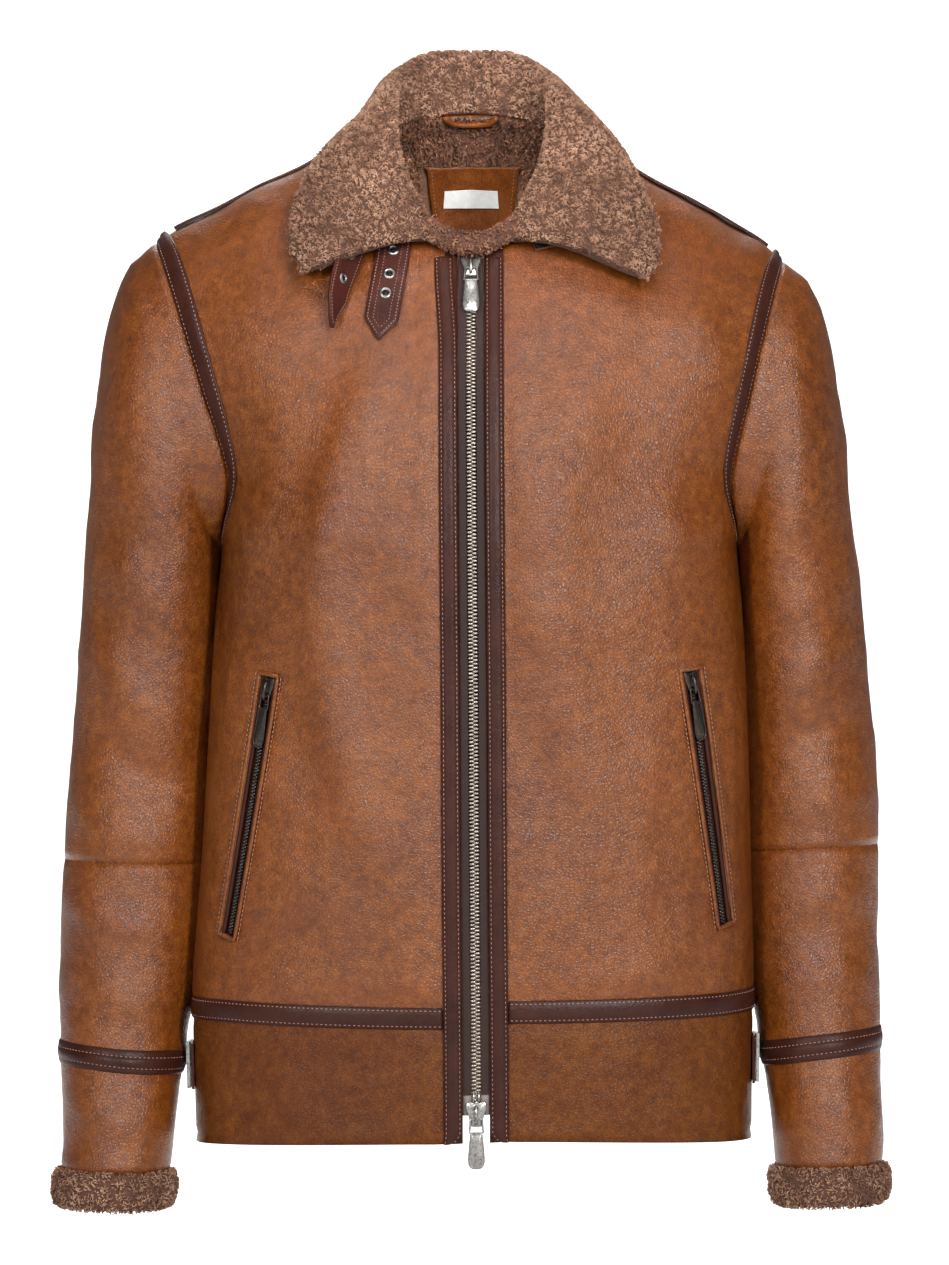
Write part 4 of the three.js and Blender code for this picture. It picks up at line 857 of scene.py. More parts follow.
def pocket_frame(share):
    """Frames along a pocket's window, from 0 at its top to 1 at its bottom."""
    share = np.asarray(share, float)
    x = lerp(POCKET_TOP[0], POCKET_BOTTOM[0], share)
    z = lerp(POCKET_TOP[1], POCKET_BOTTOM[1], share)
    run = (POCKET_BOTTOM[0] - POCKET_TOP[0], POCKET_BOTTOM[1] - POCKET_TOP[1])
    length = math.hypot(*run)
    return body_frame("front", x, z, run[0] / length, run[1] / length)


def tube(path, radius, sides=8, closed=False, squash=1.0, ups=None):
    """Points and quads of a tube round a path; squash flattens it along ups."""
    path = np.asarray(path, float)
    count = len(path)
    if closed:
        tangent = unit(np.roll(path, -1, axis=0) - np.roll(path, 1, axis=0))
    else:
        tangent = unit(np.gradient(path, axis=0))
    guide = np.tile([0.0, -1.0, 0.0], (count, 1)) if ups is None else np.asarray(ups, float)
    across = unit(np.cross(tangent, guide))
    up = unit(np.cross(across, tangent))
    angles = np.linspace(0, 2 * math.pi, sides, endpoint=False)
    radius = np.broadcast_to(np.asarray(radius, float), (count,))
    rings = path[:, None] + radius[:, None, None] * (
        np.cos(angles)[None, :, None] * across[:, None] + squash * np.sin(angles)[None, :, None] * up[:, None]
    )
    at = np.arange(count * sides).reshape(count, sides)
    nxt = np.roll(at, -1, axis=1)
    upper = np.roll(at, -1, axis=0) if closed else at[1:]
    upper_next = np.roll(nxt, -1, axis=0) if closed else nxt[1:]
    base, base_next = (at, nxt) if closed else (at[:-1], nxt[:-1])
    faces = np.stack([base.ravel(), base_next.ravel(), upper_next.ravel(), upper.ravel()], axis=1)
    if not closed:
        caps = []
        for ring, turn in ((at[0], -1), (at[-1], 1)):
            ring = ring[::turn]
            for i in range(1, sides - 2, 2):
                caps.append([ring[0], ring[i], ring[i + 1], ring[(i + 2) % sides]])
        faces = np.concatenate([faces, np.array(caps)])
    points = rings.reshape(-1, 3)
    return points, outward(points, faces)


class Gathered:
    """Gathers many small closed shapes into one piece."""

    def __init__(self):
        self.points = []
        self.faces = []
        self.tones = []
        self.count = 0

    def add(self, points, faces, tones=None):
        self.points.append(np.asarray(points, float).reshape(-1, 3))
        self.faces.append(np.asarray(faces) + self.count)
        self.count += len(self.points[-1])
        if tones is not None:
            self.tones.append(np.asarray(tones, np.float32).ravel())

    def add_all(self, shapes, faces, tones=None):
        """Adds shapes that all have the same faces; the first index of the points is the shape."""
        shapes = shapes.reshape(len(shapes), -1, 3)
        faces = outward(shapes[0], faces)
        every = faces[None] + shapes.shape[1] * np.arange(len(shapes))[:, None, None]
        self.add(shapes, every.reshape(-1, faces.shape[1]), tones)

    def make(self, name, materials, slot, **more):
        points = settle(np.concatenate(self.points))
        obj = make(name, points, np.concatenate(self.faces), materials, slot, **more)
        if self.tones:
            tones = obj.data.attributes.new("tone", "FLOAT", "POINT")
            tones.data.foreach_set("value", np.concatenate(self.tones))
        return obj


sewing = Gathered()
THREAD_SHARE = 0.68         # of each step, that the thread shows
THREAD_SINK = 0.12          # how deep it lies
THREAD_SECTION = ((1, 0), (0, 0.8), (-1, 0), (0, -0.8))


def evenly(step, path, *others):
    """Places at even steps along a path, with the same mix of any other runs."""
    path = np.asarray(path, float)
    lengths = run_length(path)
    count = max(int(lengths[-1] / step), 1)
    wanted = (np.arange(count) + 0.5) * lengths[-1] / count
    runs = (path, *others)
    return [np.stack([np.interp(wanted, lengths, run[:, k]) for k in range(3)], axis=1) for run in runs]


def stitch_row(path, normals, pitch=PITCH, radius=0.42):
    """Sewing along a path: a short slim thread in each step, its ends tucked in."""
    at, up = evenly(pitch, path, normals)
    up = unit(up)
    ahead = unit(np.gradient(at, axis=0))
    across = unit(np.cross(ahead, up))
    half = pitch * THREAD_SHARE / 2
    profile = [(-half, -0.35, 0.35), (-0.55 * half, 0.1, 1), (0.55 * half, 0.1, 1), (half, -0.35, 0.35)]
    rings = []
    for along, rise, size in profile:
        centre = at + ahead * along + up * (rise - THREAD_SINK)
        ring = [centre + radius * size * (across * c + up * s) for c, s in THREAD_SECTION]
        rings.append(np.stack(ring, axis=1))
    sewing.add_all(np.stack(rings, axis=1), ring_faces(4, 4) + [[3, 2, 1, 0], [12, 13, 14, 15]])


# places across a strip, and where its two rows of sewing run
ACROSS = np.array([-1, -0.95, -0.86, -0.72, -0.58, -0.3, 0, 0.3, 0.58, 0.72, 0.86, 0.95, 1])
SEWN = 0.72
SEWN_COLUMNS = (3, 9)


def puffed(base, normals, height, lift=0.3, dimple=0.45):
    """Outer and inner grids of a puffed leather strip over a grid."""
    t = ACROSS[None, :]
    rise = height * np.maximum(1 - np.abs(t) ** 4, 0) ** 0.5
    for row in (-SEWN, SEWN):
        rise = rise - dimple * np.exp(-((t - row) / 0.13) ** 2)
    rise = np.maximum(rise, 0.05)
    run = run_length(base[:, base.shape[1] // 2])[:, None]
    pucker = 0.16 * np.sin(2 * math.pi * run / PITCH) * np.exp(-((np.abs(t) - SEWN) / 0.2) ** 2)
    uneven = 0.22 * noise(base, 26, 21) + 0.12 * noise(base, 9, 22)
    rise = rise + (pucker + uneven) * np.minimum(rise, 1)
    outer = base + normals * (lift + np.maximum(rise, 0.05))[..., None]
    inner = base + normals * (lift * 0.4)
    return outer, inner


def strip_piece(node, base, normals, height, side=1, **more):
    """A leather strip and the sewing along both its edges."""
    outer, inner = puffed(base, normals, height, **more)
    points, faces, _ = wall(settle(mirror(outer, side)), settle(mirror(inner, side)))
    make(f"{node}_leather", points, faces, DARK, "trim_leather", replaces=(node,))
    for column in SEWN_COLUMNS:
        stitch_row(mirror(outer[:, column], side), mirror(normals[:, column], side))


# Body


def cut_window(obj, side):
    """Cuts the pocket's window through a front."""
    at, out, down, across = pocket_frame(np.linspace(0, 1, 9))
    corners = []
    for x, height in ((-POCKET_HALF, -14), (POCKET_HALF, -14), (POCKET_HALF, 9), (-POCKET_HALF, 9)):
        corners.append(at + across * x + out * height)
    rings = np.stack(corners, axis=1)
    points = settle(mirror(rings.reshape(-1, 3), side))
    faces = ring_faces(9, 4) + [[3, 2, 1, 0], [32, 33, 34, 35]]
    cutter = make("window_cutter", points, outward(points, faces), TAN_EDGE)
    modifier = obj.modifiers.new("window", "BOOLEAN")
    modifier.operation = "DIFFERENCE"
    modifier.object = cutter
    modifier.solver = "EXACT"
    bpy.context.view_layer.update()
    graph = bpy.context.evaluated_depsgraph_get()
    mesh = bpy.data.meshes.new_from_object(obj.evaluated_get(graph))
    obj.modifiers.clear()
    old = obj.data
    obj.data = mesh
    bpy.data.meshes.remove(old)
    bpy.data.objects.remove(cutter)


for name, side in SIDES:
    cut_window(cloth_panel(f"front_{name}", dressed("front", BODY_ROWS, FRONT_PLACES, side)), side)
    cloth_panel(f"band_front_{name}", dressed("front", BAND_ROWS, FRONT_PLACES, side))
cloth_panel("back", dressed("back", BODY_ROWS, BACK_PLACES, both=True))
cloth_panel("band_back", dressed("back", BAND_ROWS, BACK_PLACES, both=True))

# strips round the armholes, along the waist seam and the shoulder seams
STRIP_ROWS = armhole_z(np.linspace(0, ARM_STEPS, 150))
STRIP_START = np.linspace(ARMPIT_Z - TRIM_WIDTH, ARMPIT_Z, 8)[:-1]
EDGE_PLACES = 2.5 + 0.5 * ACROSS
for name, side in SIDES:
    rows = np.concatenate([STRIP_START, STRIP_ROWS])
    front_base = panel_points("front", rows, EDGE_PLACES)
    back_base = panel_points("back", rows, EDGE_PLACES)
    front_normals = grid_normals(front_base)
    back_normals = grid_normals(back_base, -1)
    for end in (front_normals, back_normals):
        end[-6:] = end[-7:-6]
    base = eased(np.concatenate([front_base[:-3], back_base[::-1][3:]]), 40)
    normals = unit(eased(np.concatenate([front_normals[:-3], back_normals[::-1][3:]]), 60))
    strip_piece(f"armhole_strip_{name}", base, normals, 1.7, side)

    xs = np.linspace(NECK_X + 4, TIP_X - 12, 70)
    crown = curve(CROWN, "x", xs, "front")
    fold = body_point("front", xs, crown)
    base = []
    for t in ACROSS:
        face = "front" if t < 0 else "back"
        low = np.zeros(len(xs))
        high = np.full(len(xs), 14.0)
        for _ in range(24):
            mid = (low + high) / 2
            gap = np.linalg.norm(body_point(face, xs, crown - mid) - fold, axis=-1)
            low = np.where(gap < 6.5 * abs(t), mid, low)
            high = np.where(gap < 6.5 * abs(t), high, mid)
        base.append(body_point(face, xs, crown - low))
    base = np.stack(base, axis=1)
    normals = facing(grid_normals(base), [0, 0, 1])
    strip_piece(f"shoulder_strip_{name}", base, normals, 1.7, side, lift=0.7)

middle_z = (WAIST_STRIP_TOP + WAIST_STRIP_BOTTOM) / 2
half_z = (WAIST_STRIP_TOP - WAIST_STRIP_BOTTOM) / 2


def waist_base(face, angles):
    z = middle_z + half_z * ACROSS[None, :]
    wide = curve(TORSO, "z", z, "half")
    x = wide * np.sin(angles)[:, None]
    return body_point(face, x, droop_z(x, z + 0 * x))


for name, side in SIDES:
    angles = np.linspace(math.asin((PLACKET_X + 0.4) / 200), math.pi / 2, 120)
    base = waist_base("front", angles)
    strip_piece(f"waist_strip_{name}", base, facing(grid_normals(base), [0, -1, 0]), 1.8, side)
angles = np.linspace(-math.pi / 2, math.pi / 2, 220)
base = waist_base("back", angles)
strip_piece("waist_strip_back", base, facing(grid_normals(base), [0, 1, 0]), 1.8)

# Front closing


def edge_frame(z):
    """Along the front edge: a point, the way across and the way out."""
    z = np.asarray(z, float)
    at = body_point("front", np.full(z.shape, OPENING_X), z)
    beside = body_point("front", np.full(z.shape, PLACKET_X), z)
    normal = body_normal("front", np.full(z.shape, OPENING_X), z)
    normal[..., 0] = 0
    return at, (beside - at) / (PLACKET_X - OPENING_X), unit(normal)


PLACKET_TOP = -91.0
CORNER = 7.0
for name, side in SIDES:
    z = np.linspace(HEM_Z, PLACKET_TOP, 380)
    at, across, out = edge_frame(z)
    middle = (PLACKET_X + OPENING_X) / 2
    half = (PLACKET_X - OPENING_X) / 2 - 0.3
    # its outer corner at the hem is rounded off
    rise = z - HEM_Z
    width = lerp(half - 4.5, half, np.sqrt(np.clip(rise / CORNER, 0, 1)))
    width = np.where(rise < CORNER, width, half)
    centre = middle + (half - width)
    # the right one leans away from the zip towards its top
    flare = 3.2 * smooth(z, -160, PLACKET_TOP) * (side < 0)
    x = (centre + flare)[:, None] + width[:, None] * ACROSS[None, :]
    base = at[:, None] + across[:, None] * (x - OPENING_X)[..., None]
    normals = np.repeat(out[:, None], len(ACROSS), axis=1)
    strip_piece(f"placket_{name}", base, normals, 3.3, side, dimple=0.9)

# Zips


def teeth(pile, at, across, out, down, half_gap, size, side):
    """One row of zip teeth: each a small rounded block that reaches over the middle."""
    reach, tall, deep = size
    outline = [[-0.95, -0.45], [-0.95, 0.45], [-0.3, 1.0], [1.0, 0.8], [1.0, -0.8], [-0.3, -1.0]]
    layers = [(-1, 0.82), (-0.6, 1.0), (0.6, 1.0), (1, 0.8)]
    rings = []
    for height, grow in layers:
        ring = []
        for u, v in outline:
            place = at + across * (side * (half_gap + reach * (1 + u * grow) / 2))
            ring.append(place + down * (v * grow * tall / 2) + out * (height * deep / 2))
        rings.append(np.stack(ring, axis=1))
    n = len(outline)
    a, b, c, d, e, f = range(3 * n, 4 * n)
    caps = [[3, 2, 1, 0], [5, 4, 3, 0], [a, b, c, d], [a, d, e, f]]
    pile.add_all(np.stack(rings, axis=1), ring_faces(4, n) + caps)


TOOTH_PITCH = 2.66
TOP_SLIDER_Z = -90.0
MAIN_SLIDER = 15.0
BOTTOM_SLIDER_Z = -685.0
chain = Gathered()
for name, side in SIDES:
    z = np.arange(BOTTOM_SLIDER_Z + 1.2, TOP_SLIDER_Z - MAIN_SLIDER - 0.8, TOOTH_PITCH)
    z = z + (TOOTH_PITCH / 2 if side > 0 else 0)
    at, across, out = edge_frame(z)
    at = at - across * OPENING_X
    at[:, 0] = 0
    down = unit(np.gradient(at, axis=0))
    at = at + out * -2.1
    flat = np.tile([1.0, 0, 0], (len(z), 1))
    teeth(chain, at, flat, out, down, -0.75, (4.2, 1.65, 2.6), side)
chain.make("zip_chain_teeth", TEETH, "chain", replaces=("zip_chain_left", "zip_chain_right"))

pocket_zip = Gathered()
POCKET_PITCH = 2.3
POCKET_LENGTH = float(np.linalg.norm(pocket_frame(0)[0] - pocket_frame(1)[0]))
for name, side in SIDES:
    start = 18.5 / POCKET_LENGTH
    shares = np.linspace(start, 0.985, int(POCKET_LENGTH * (0.985 - start) / POCKET_PITCH))
    for half in (-1, 1):
        at, out, down, across = pocket_frame(shares + half * 0.25 * POCKET_PITCH / POCKET_LENGTH)
        at = mirror(at + out * -2.3, side)
        across, out, down = (mirror(each, side) for each in (across, out, down))
        teeth(pocket_zip, at, across, out, down, -0.5, (2.6, 1.35, 1.6), half)
chains = ("pocket_chain_left", "pocket_chain_right")
pocket_zip.make("pocket_chain_teeth", TEETH_DARK, "chain", replaces=chains)

# folded cloth round each pocket window, and dark piping inside it
rims = Gathered()
pipes = Gathered()
lips = ((rims, POCKET_HALF + 1.5, 0.5, 1.6, 0.7), (pipes, POCKET_HALF - 1.3, -1.6, 1.7, 0.8))
at, out, down, across = pocket_frame(np.linspace(0, 1, 60))
for name, side in SIDES:
    for pile, x, height, radius, squash in lips:
        right = at + across * x + out * height
        left = at - across * x + out * height
        loop = np.concatenate([right, left[::-1]])
        ups = np.concatenate([out, out[::-1]])
        points, faces = tube(mirror(loop, side), radius, 10, True, squash, mirror(ups, side))
        pile.add(points, faces)
        if pile is rims:
            for edge in (-1, 1):
                line = at + across * (edge * (POCKET_HALF + 4.4)) + out * 0.35
                stitch_row(mirror(line, side), mirror(out, side))
rims.make("pocket_rims", TAN, "suede")
pipes.make("pocket_pipings", DARK, "trim_leather")

# Sleeves


def armhole_ring(angles):
    index = np.asarray(angles) / (2 * math.pi) * 2 * ARM_STEPS
    front = index <= ARM_STEPS
    step = np.where(front, index, 2 * ARM_STEPS - index)
    z = armhole_z(step)
    x = edge_x(z)
    y = np.where(front, body_y("front", x, z), body_y("back", x, z))
    low = (1 + np.cos(math.pi * step / ARM_STEPS)) / 2
    return xyz(x + 0.3 + 2.1 * low ** 4, y, z)


def sleeve_rings(rows, angles):
    """Points round the sleeve at table rows; row -1 is the armhole."""
    rows = np.asarray(rows, float)[:, None]
    angles = np.asarray(angles, float)[None, :]
    keys = ("outX", "outZ", "inX", "inZ", "depth", "midY")
    out_x, out_z, in_x, in_z, depth, mid_y = (curve(SLEEVE, "row", np.maximum(rows, 0), key) for key in keys)
    cosine = np.cos(angles)
    x = (out_x + in_x) / 2 - (out_x - in_x) / 2 * cosine
    z = (out_z + in_z) / 2 - (out_z - in_z) / 2 * cosine
    y = mid_y - depth * np.sin(angles)
    points = xyz(x, y, z)
    head = armhole_ring(angles[0])[None]
    share = np.clip(rows + 1, 0, 1)[..., None]
    return np.where(rows[..., None] < 0, lerp(head, points, share), points)


SLEEVE_FOLDS = {
    1: [
        [205, -420, 270, -360, 16, 2.2],
        [200, -455, 268, -420, 13, -2.2],
        [202, -500, 285, -470, 14, 1.8],
        [270, -300, 215, -345, 18, 1.8],
        [215, -560, 285, -540, 13, 1.6],
        [210, -610, 280, -600, 12, 1.4],
        [250, -180, 225, -280, 22, 1.6],
        [215, -690, 285, -700, 11, 1.1],
    ],
    -1: [
        [-205, -425, -275, -355, 16, 2.2],
        [-205, -465, -270, -430, 13, -2.2],
        [-205, -505, -285, -480, 14, 1.9],
        [-270, -300, -215, -350, 18, 1.9],
        [-215, -565, -288, -545, 13, 1.7],
        [-212, -615, -285, -600, 12, 1.4],
        [-250, -170, -220, -280, 22, 1.6],
        [-215, -700, -285, -690, 11, 1.1],
    ],
}
RING_COUNT = 84
ANGLES = np.linspace(0, 2 * math.pi, RING_COUNT, endpoint=False)
SEAM_ROWS = {"upper": (-1, ELBOW), "lower": (ELBOW, CUFF_SEAM), "cuff": (CUFF_SEAM, SLEEVE_END)}


def sleeve_grid(first, last, side):
    """Outer and inner grids of one length of sleeve with its folds, settled."""
    samples = np.linspace(first, last, 400)
    line = sleeve_rings(samples, [0.5 * math.pi, 1.5 * math.pi]).mean(axis=1)
    run = run_length(line)
    rows = np.interp(np.linspace(0, run[-1], max(int(run[-1] / GRID), 4)), run, samples)
    points = sleeve_rings(rows, ANGLES)
    normals = facing(wrapped_normals(points), points - points.mean(axis=1, keepdims=True))
    outer = mirror(points, side)
    directions = mirror(normals, side)
    spot = np.interp(rows, samples, run)[:, None]
    calm = smooth(spot, 3, 20) * smooth(run[-1] - spot, 3, 20)
    placed = settle(outer)
    offset = relief(placed + [0, 0, 300]) * calm
    facing_front = 0.75 + 0.25 * np.sign(-directions[..., 1])
    offset = offset + 1.5 * folds(placed, SLEEVE_FOLDS[side]) * calm * facing_front
    offset = offset + near_edge(run[-1] - spot, 0.7, 1.8) + near_edge(spot, 0.7, 1.8)
    inward = np.maximum(-directions[..., 0] * side, 0)
    offset = np.where(offset > 0, offset * (1 - 0.9 * inward), offset)
    offset = offset + 2.8 * inward ** 2 * resting(outer[..., 2])
    shaped = outer + directions * offset[..., None]
    inner = outer - directions * WALL
    return settle(shaped), settle(inner)


CUFF_BAND = np.interp(ACROSS, [-1, 0, 1], [13, 14, 15])
for name, side in SIDES:
    for part, (first, last) in SEAM_ROWS.items():
        cloth_panel(f"sleeve_{part}_{name}", sleeve_grid(first, last, side), wrap=True)
    around = np.linspace(0, 2 * math.pi, 150, endpoint=False)
    base = sleeve_rings(CUFF_BAND, around).transpose(1, 0, 2)
    normals = unit(np.roll(base, -1, axis=0) - np.roll(base, 1, axis=0))
    along = unit(np.gradient(base, axis=1))
    normals = facing(unit(np.cross(normals, along)), base - base.mean(axis=0, keepdims=True))
    outer, inner = puffed(base, normals, 1.8)
    points, faces, _ = wall(outer.transpose(1, 0, 2), inner.transpose(1, 0, 2), wrap=True)
    points = mirror(points, side)
    make(f"cuff_strip_{name}_leather", settle(points), outward(points, faces), DARK, "trim_leather",
         replaces=(f"cuff_strip_{name}",))
    for column in SEWN_COLUMNS:
        ring = np.concatenate([outer[:, column], outer[:1, column]])
        ups = np.concatenate([normals[:, column], normals[:1, column]])
        stitch_row(mirror(ring, side), mirror(ups, side))

# Fur


# length, half width and curl of the locks on each part
CUFF_LOCK = (5.0, 0.62, 2.2)
COLLAR_LOCK = (5.0, 0.6, 2.2)
HIDDEN_LOCK = (4.6, 0.85, 2.2)
EDGE_LOCK = (4.4, 0.85, 2.4)
END_LOCK = (4.4, 0.85, 2.2)
NECK_LOCK = (4.8, 0.7, 2.2)
ROLL_LOCK = (4.8, 0.8, 2.2)
# mean distance between locks on each part, and the size of the swirls they follow
CUFF_SPACING = 1.85
COLLAR_SPACING = 1.66
HIDDEN_SPACING = 3.6
NECK_SPACING = 2.3
ROLL_SPACING = 2.1
SWIRL = 9.0


def clumps(pile, spots, normals, lock, seed, lean=(0, 0, 0)):
    """Curly locks of wool: each a tapered three-sided strand that bends over the way its neighbours do, dark
    at its root, partly painted shade, and paler at its tip."""
    length, width, curl = lock
    draw = np.random.default_rng(seed)
    count = len(spots)
    normals = unit(normals)
    drift = np.stack([noise(spots, SWIRL, seed + k) for k in (1, 2, 3)], axis=1)
    # one lock in several is the middle of a tuft, and its neighbours bend towards it
    middles = spots[draw.uniform(0, 1, count) < 0.06]
    tree = KDTree(len(middles))
    for i, spot in enumerate(middles):
        tree.insert(spot, i)
    tree.balance()
    found = [tree.find(spot) for spot in spots]
    toward = np.array([hit[0] for hit in found]) - spots
    apart_by = np.array([hit[2] for hit in found])
    side = 0.9 * drift + 0.30 * toward + 0.35 * draw.normal(size=(count, 3)) + np.asarray(lean)
    side = unit(side - normals * (side * normals).sum(-1, keepdims=True))
    cross = np.cross(normals, side)
    size = length * draw.uniform(0.7, 1.25, (count, 1))
    thick = width * draw.uniform(0.75, 1.25, (count, 1))
    bend = curl * draw.uniform(0.7, 1.3, (count, 1))
    twist = draw.uniform(-1, 1, (count, 1))
    tone = 0.58 + 0.12 * noise(spots, 34, seed + 6) + 0.10 * noise(spots, 13, seed + 5)
    tone = tone + 0.16 * noise(spots, 5, seed + 4)
    # locks far from a tuft's middle, in the creases between tufts, are darker: painted shade
    tone = tone - 0.03 * (apart_by - 2.5) + 0.05 * draw.normal(size=count)
    point = spots - normals * 1.0
    angle = np.full((count, 1), 0.25)
    parts = []
    for taper, step in ((1.0, 0.52), (0.85, 0.48)):
        across = normals * -np.sin(angle) + side * np.cos(angle)
        ring = [
            point + thick * taper * (across * math.cos(turn) + cross * math.sin(turn))
            for turn in (0.0, 2.1, 4.2)
        ]
        parts.append(np.stack(ring, axis=1))
        direction = normals * np.cos(angle) + side * np.sin(angle)
        point = point + size * step * (direction + cross * twist * 0.25)
        angle = angle + bend / 1.6
    parts.append(point[:, None])
    faces = []
    for k in range(3):
        n = (k + 1) % 3
        faces += [[k, n, 3 + n], [k, 3 + n, 3 + k], [3 + k, 3 + n, 6]]
    faces.append([2, 1, 0])
    # along each lock the root is darker and the tip paler; the dark root is partly painted shade
    along = np.array([-0.34] * 3 + [0.0] * 3 + [0.12])
    pile.add_all(np.concatenate(parts, axis=1), faces, tone[:, None] + along[None, :])


def cell_corners(grid):
    """The four corners of every cell of a grid."""
    return grid[:-1, :-1], grid[:-1, 1:], grid[1:, 1:], grid[1:, :-1]


def scatter(grid, normals, spacing, seed, wrap_rows=False, wrap_columns=False):
    """Places spread over a grid of points, about the spacing apart."""
    draw = np.random.default_rng(seed)
    if wrap_rows:
        grid = np.concatenate([grid, grid[:1]])
        normals = np.concatenate([normals, normals[:1]])
    if wrap_columns:
        grid = np.concatenate([grid, grid[:, :1]], axis=1)
        normals = np.concatenate([normals, normals[:, :1]], axis=1)
    a, b, c, d = cell_corners(grid)
    first = np.linalg.norm(np.cross(b - a, c - a), axis=-1)
    second = np.linalg.norm(np.cross(c - a, d - a), axis=-1)
    area = (first + second) / 2
    total = area.sum()
    count = int(total / spacing ** 2)
    flat = np.cumsum(area.ravel()) / total
    picks = np.searchsorted(flat, (np.arange(count) + draw.uniform(0, 1, count)) / count)
    picks = np.minimum(picks, area.size - 1)
    u = draw.uniform(0, 1, (count, 1))
    v = draw.uniform(0, 1, (count, 1))

    def take(values):
        p, q, r, s = (each.reshape(-1, 3)[picks] for each in cell_corners(values))
        return (p * (1 - u) + q * u) * (1 - v) + (s * (1 - u) + r * u) * v

    return take(grid), unit(take(normals))


CUFF_PROFILE = table("out down", [
    [0, 0.3], [3, 0.5], [5, 6], [5, 17], [2.5, 24],
    [-3, 26.5], [-8, 23], [-9, 12], [-7.5, 2], [-6, 0.3],
])


def lumpy(points, normals, height, size, seed):
    """Wool surface: rounded lumps with creases between them."""
    bumps = 1 - np.abs(noise(points, size, seed)) * 1.6
    fine = 1 - np.abs(noise(points, size * 0.45, seed + 1)) * 1.6
    return points + normals * (height * (0.7 * bumps + 0.3 * fine - 0.45))[..., None]


def cuff_rings():
    """Rings of a fur cuff's rolled surface, one for each place round its profile."""
    samples = np.linspace(0, len(CUFF_PROFILE["out"]), 45, endpoint=False)
    closed = {key: np.append(values, values[0]) for key, values in CUFF_PROFILE.items()}
    index = np.arange(len(closed["out"]))
    around = np.linspace(0, 2 * math.pi, 130, endpoint=False)
    ring = sleeve_rings([SLEEVE_END], around)[0]
    middle = ring.mean(axis=0)
    top = sleeve_rings([SLEEVE_END - 0.4], around)[0].mean(axis=0)
    axis = unit(middle - top)
    out = unit(ring - middle)
    rings = []
    for sample in samples:
        grow = np.interp(sample, index, closed["out"])
        down = np.interp(sample, index, closed["down"])
        rings.append(ring + out * (grow - 0.6) + axis * down)
    return np.stack(rings)


for name, side in SIDES:
    rings = cuff_rings()
    normals = unit(np.cross(np.roll(rings, -1, axis=1) - np.roll(rings, 1, axis=1),
                            np.roll(rings, -1, axis=0) - np.roll(rings, 1, axis=0)))
    core = rings.mean(axis=0, keepdims=True)
    if ((normals * (rings - core)).sum(-1)).mean() < 0:
        normals = -normals
    base = lumpy(rings, normals, 1.2, 6.0, 31)
    rows, columns = base.shape[:2]
    at = np.arange(rows * columns).reshape(rows, columns)
    beside = np.roll(at, -1, 1)
    faces = np.stack([at, beside, np.roll(beside, -1, 0), np.roll(at, -1, 0)], axis=-1).reshape(-1, 4)
    points = settle(mirror(base, side))
    make(f"cuff_fur_{name}_hide", points, outward(points, faces), HIDE, "fur", replaces=(f"cuff_fur_{name}",))
    spots, ups = scatter(rings, normals, CUFF_SPACING, 41 + side, True, True)
    locks = Gathered()
    clumps(locks, mirror(spots, side), mirror(ups, side), CUFF_LOCK, 51 + side, (0, 0, -0.3))
    locks.make(f"cuff_fur_{name}_locks", FUR, "fur")


def collar_grid(count, steps):
    """Middle line of the collar's hide for each angle round the neck, with half its thickness."""
    angles = np.maximum(np.linspace(0, 180, count), 7.3)
    front = angles <= 90
    x = NECK_X * np.sin(np.radians(angles))

    rims = [body_point(face, x, top_z(face, x)) for face in ("front", "back")]
    outer = np.where(front[:, None], *rims)
    z = outer[:, 2]
    normal = np.where(front[:, None], body_normal("front", x, z - 0.6), body_normal("back", x, z - 0.6))
    tangent = unit(np.gradient(outer, axis=0))
    up = facing(unit(np.cross(tangent, normal)), [0, 0, 1])
    side_up = unit(np.array([-0.85, 0, 0.53]))
    weight = np.exp(-((angles - 90) / 9) ** 2)[:, None]
    up = unit(lerp(up, side_up, weight))
    flat = 1 - smooth(angles, 50, 90)
    start = outer - normal * WALL / 2 + up * (0.9 + flat * 3)[:, None]
    knots = [start]
    for stem in ("k1", "k2", "e"):
        knots.append(xyz(*(curve(COLLAR, "angle", angles, stem + axis) for axis in "xyz")))
    t = np.linspace(0, 1, steps)[None, :, None]
    p0, p1, p2, p3 = (knot[:, None] for knot in knots)
    run = (1 - t) ** 3 * p0 + 3 * t * (1 - t) ** 2 * p1 + 3 * t ** 2 * (1 - t) * p2 + t ** 3 * p3
    half = np.interp(np.linspace(0, 1, steps), COLLAR_RUN["share"], COLLAR_RUN["half"])
    whole = np.concatenate([run * [-1, 1, 1], run[:-1][::-1]])
    return whole, half


collar, collar_half = collar_grid(150, 40)
# the right side of the fall stands a little closer to the neck
nearer = np.exp(-((collar[..., 2] - 18) / 30) ** 2) * smooth(-collar[..., 0], 50, 90)
collar[..., 0] += 8.0 * nearer
# and the left wing's edge lifts a little over its buckle
edge_share = np.linspace(0, 1, collar.shape[1])[None, :] ** 4
collar[..., 2] += 4.5 * edge_share * np.exp(-((collar[..., 0] - 60) / 26) ** 2)
normals = grid_normals(collar)
if normals[len(collar) // 2, 8, 1] < 0:
    normals = -normals
ends = np.minimum(1, 0.55 + 0.45 * np.minimum(np.arange(len(collar)), np.arange(len(collar))[::-1]) / 3)
thick = collar_half[None, :] * ends[:, None]
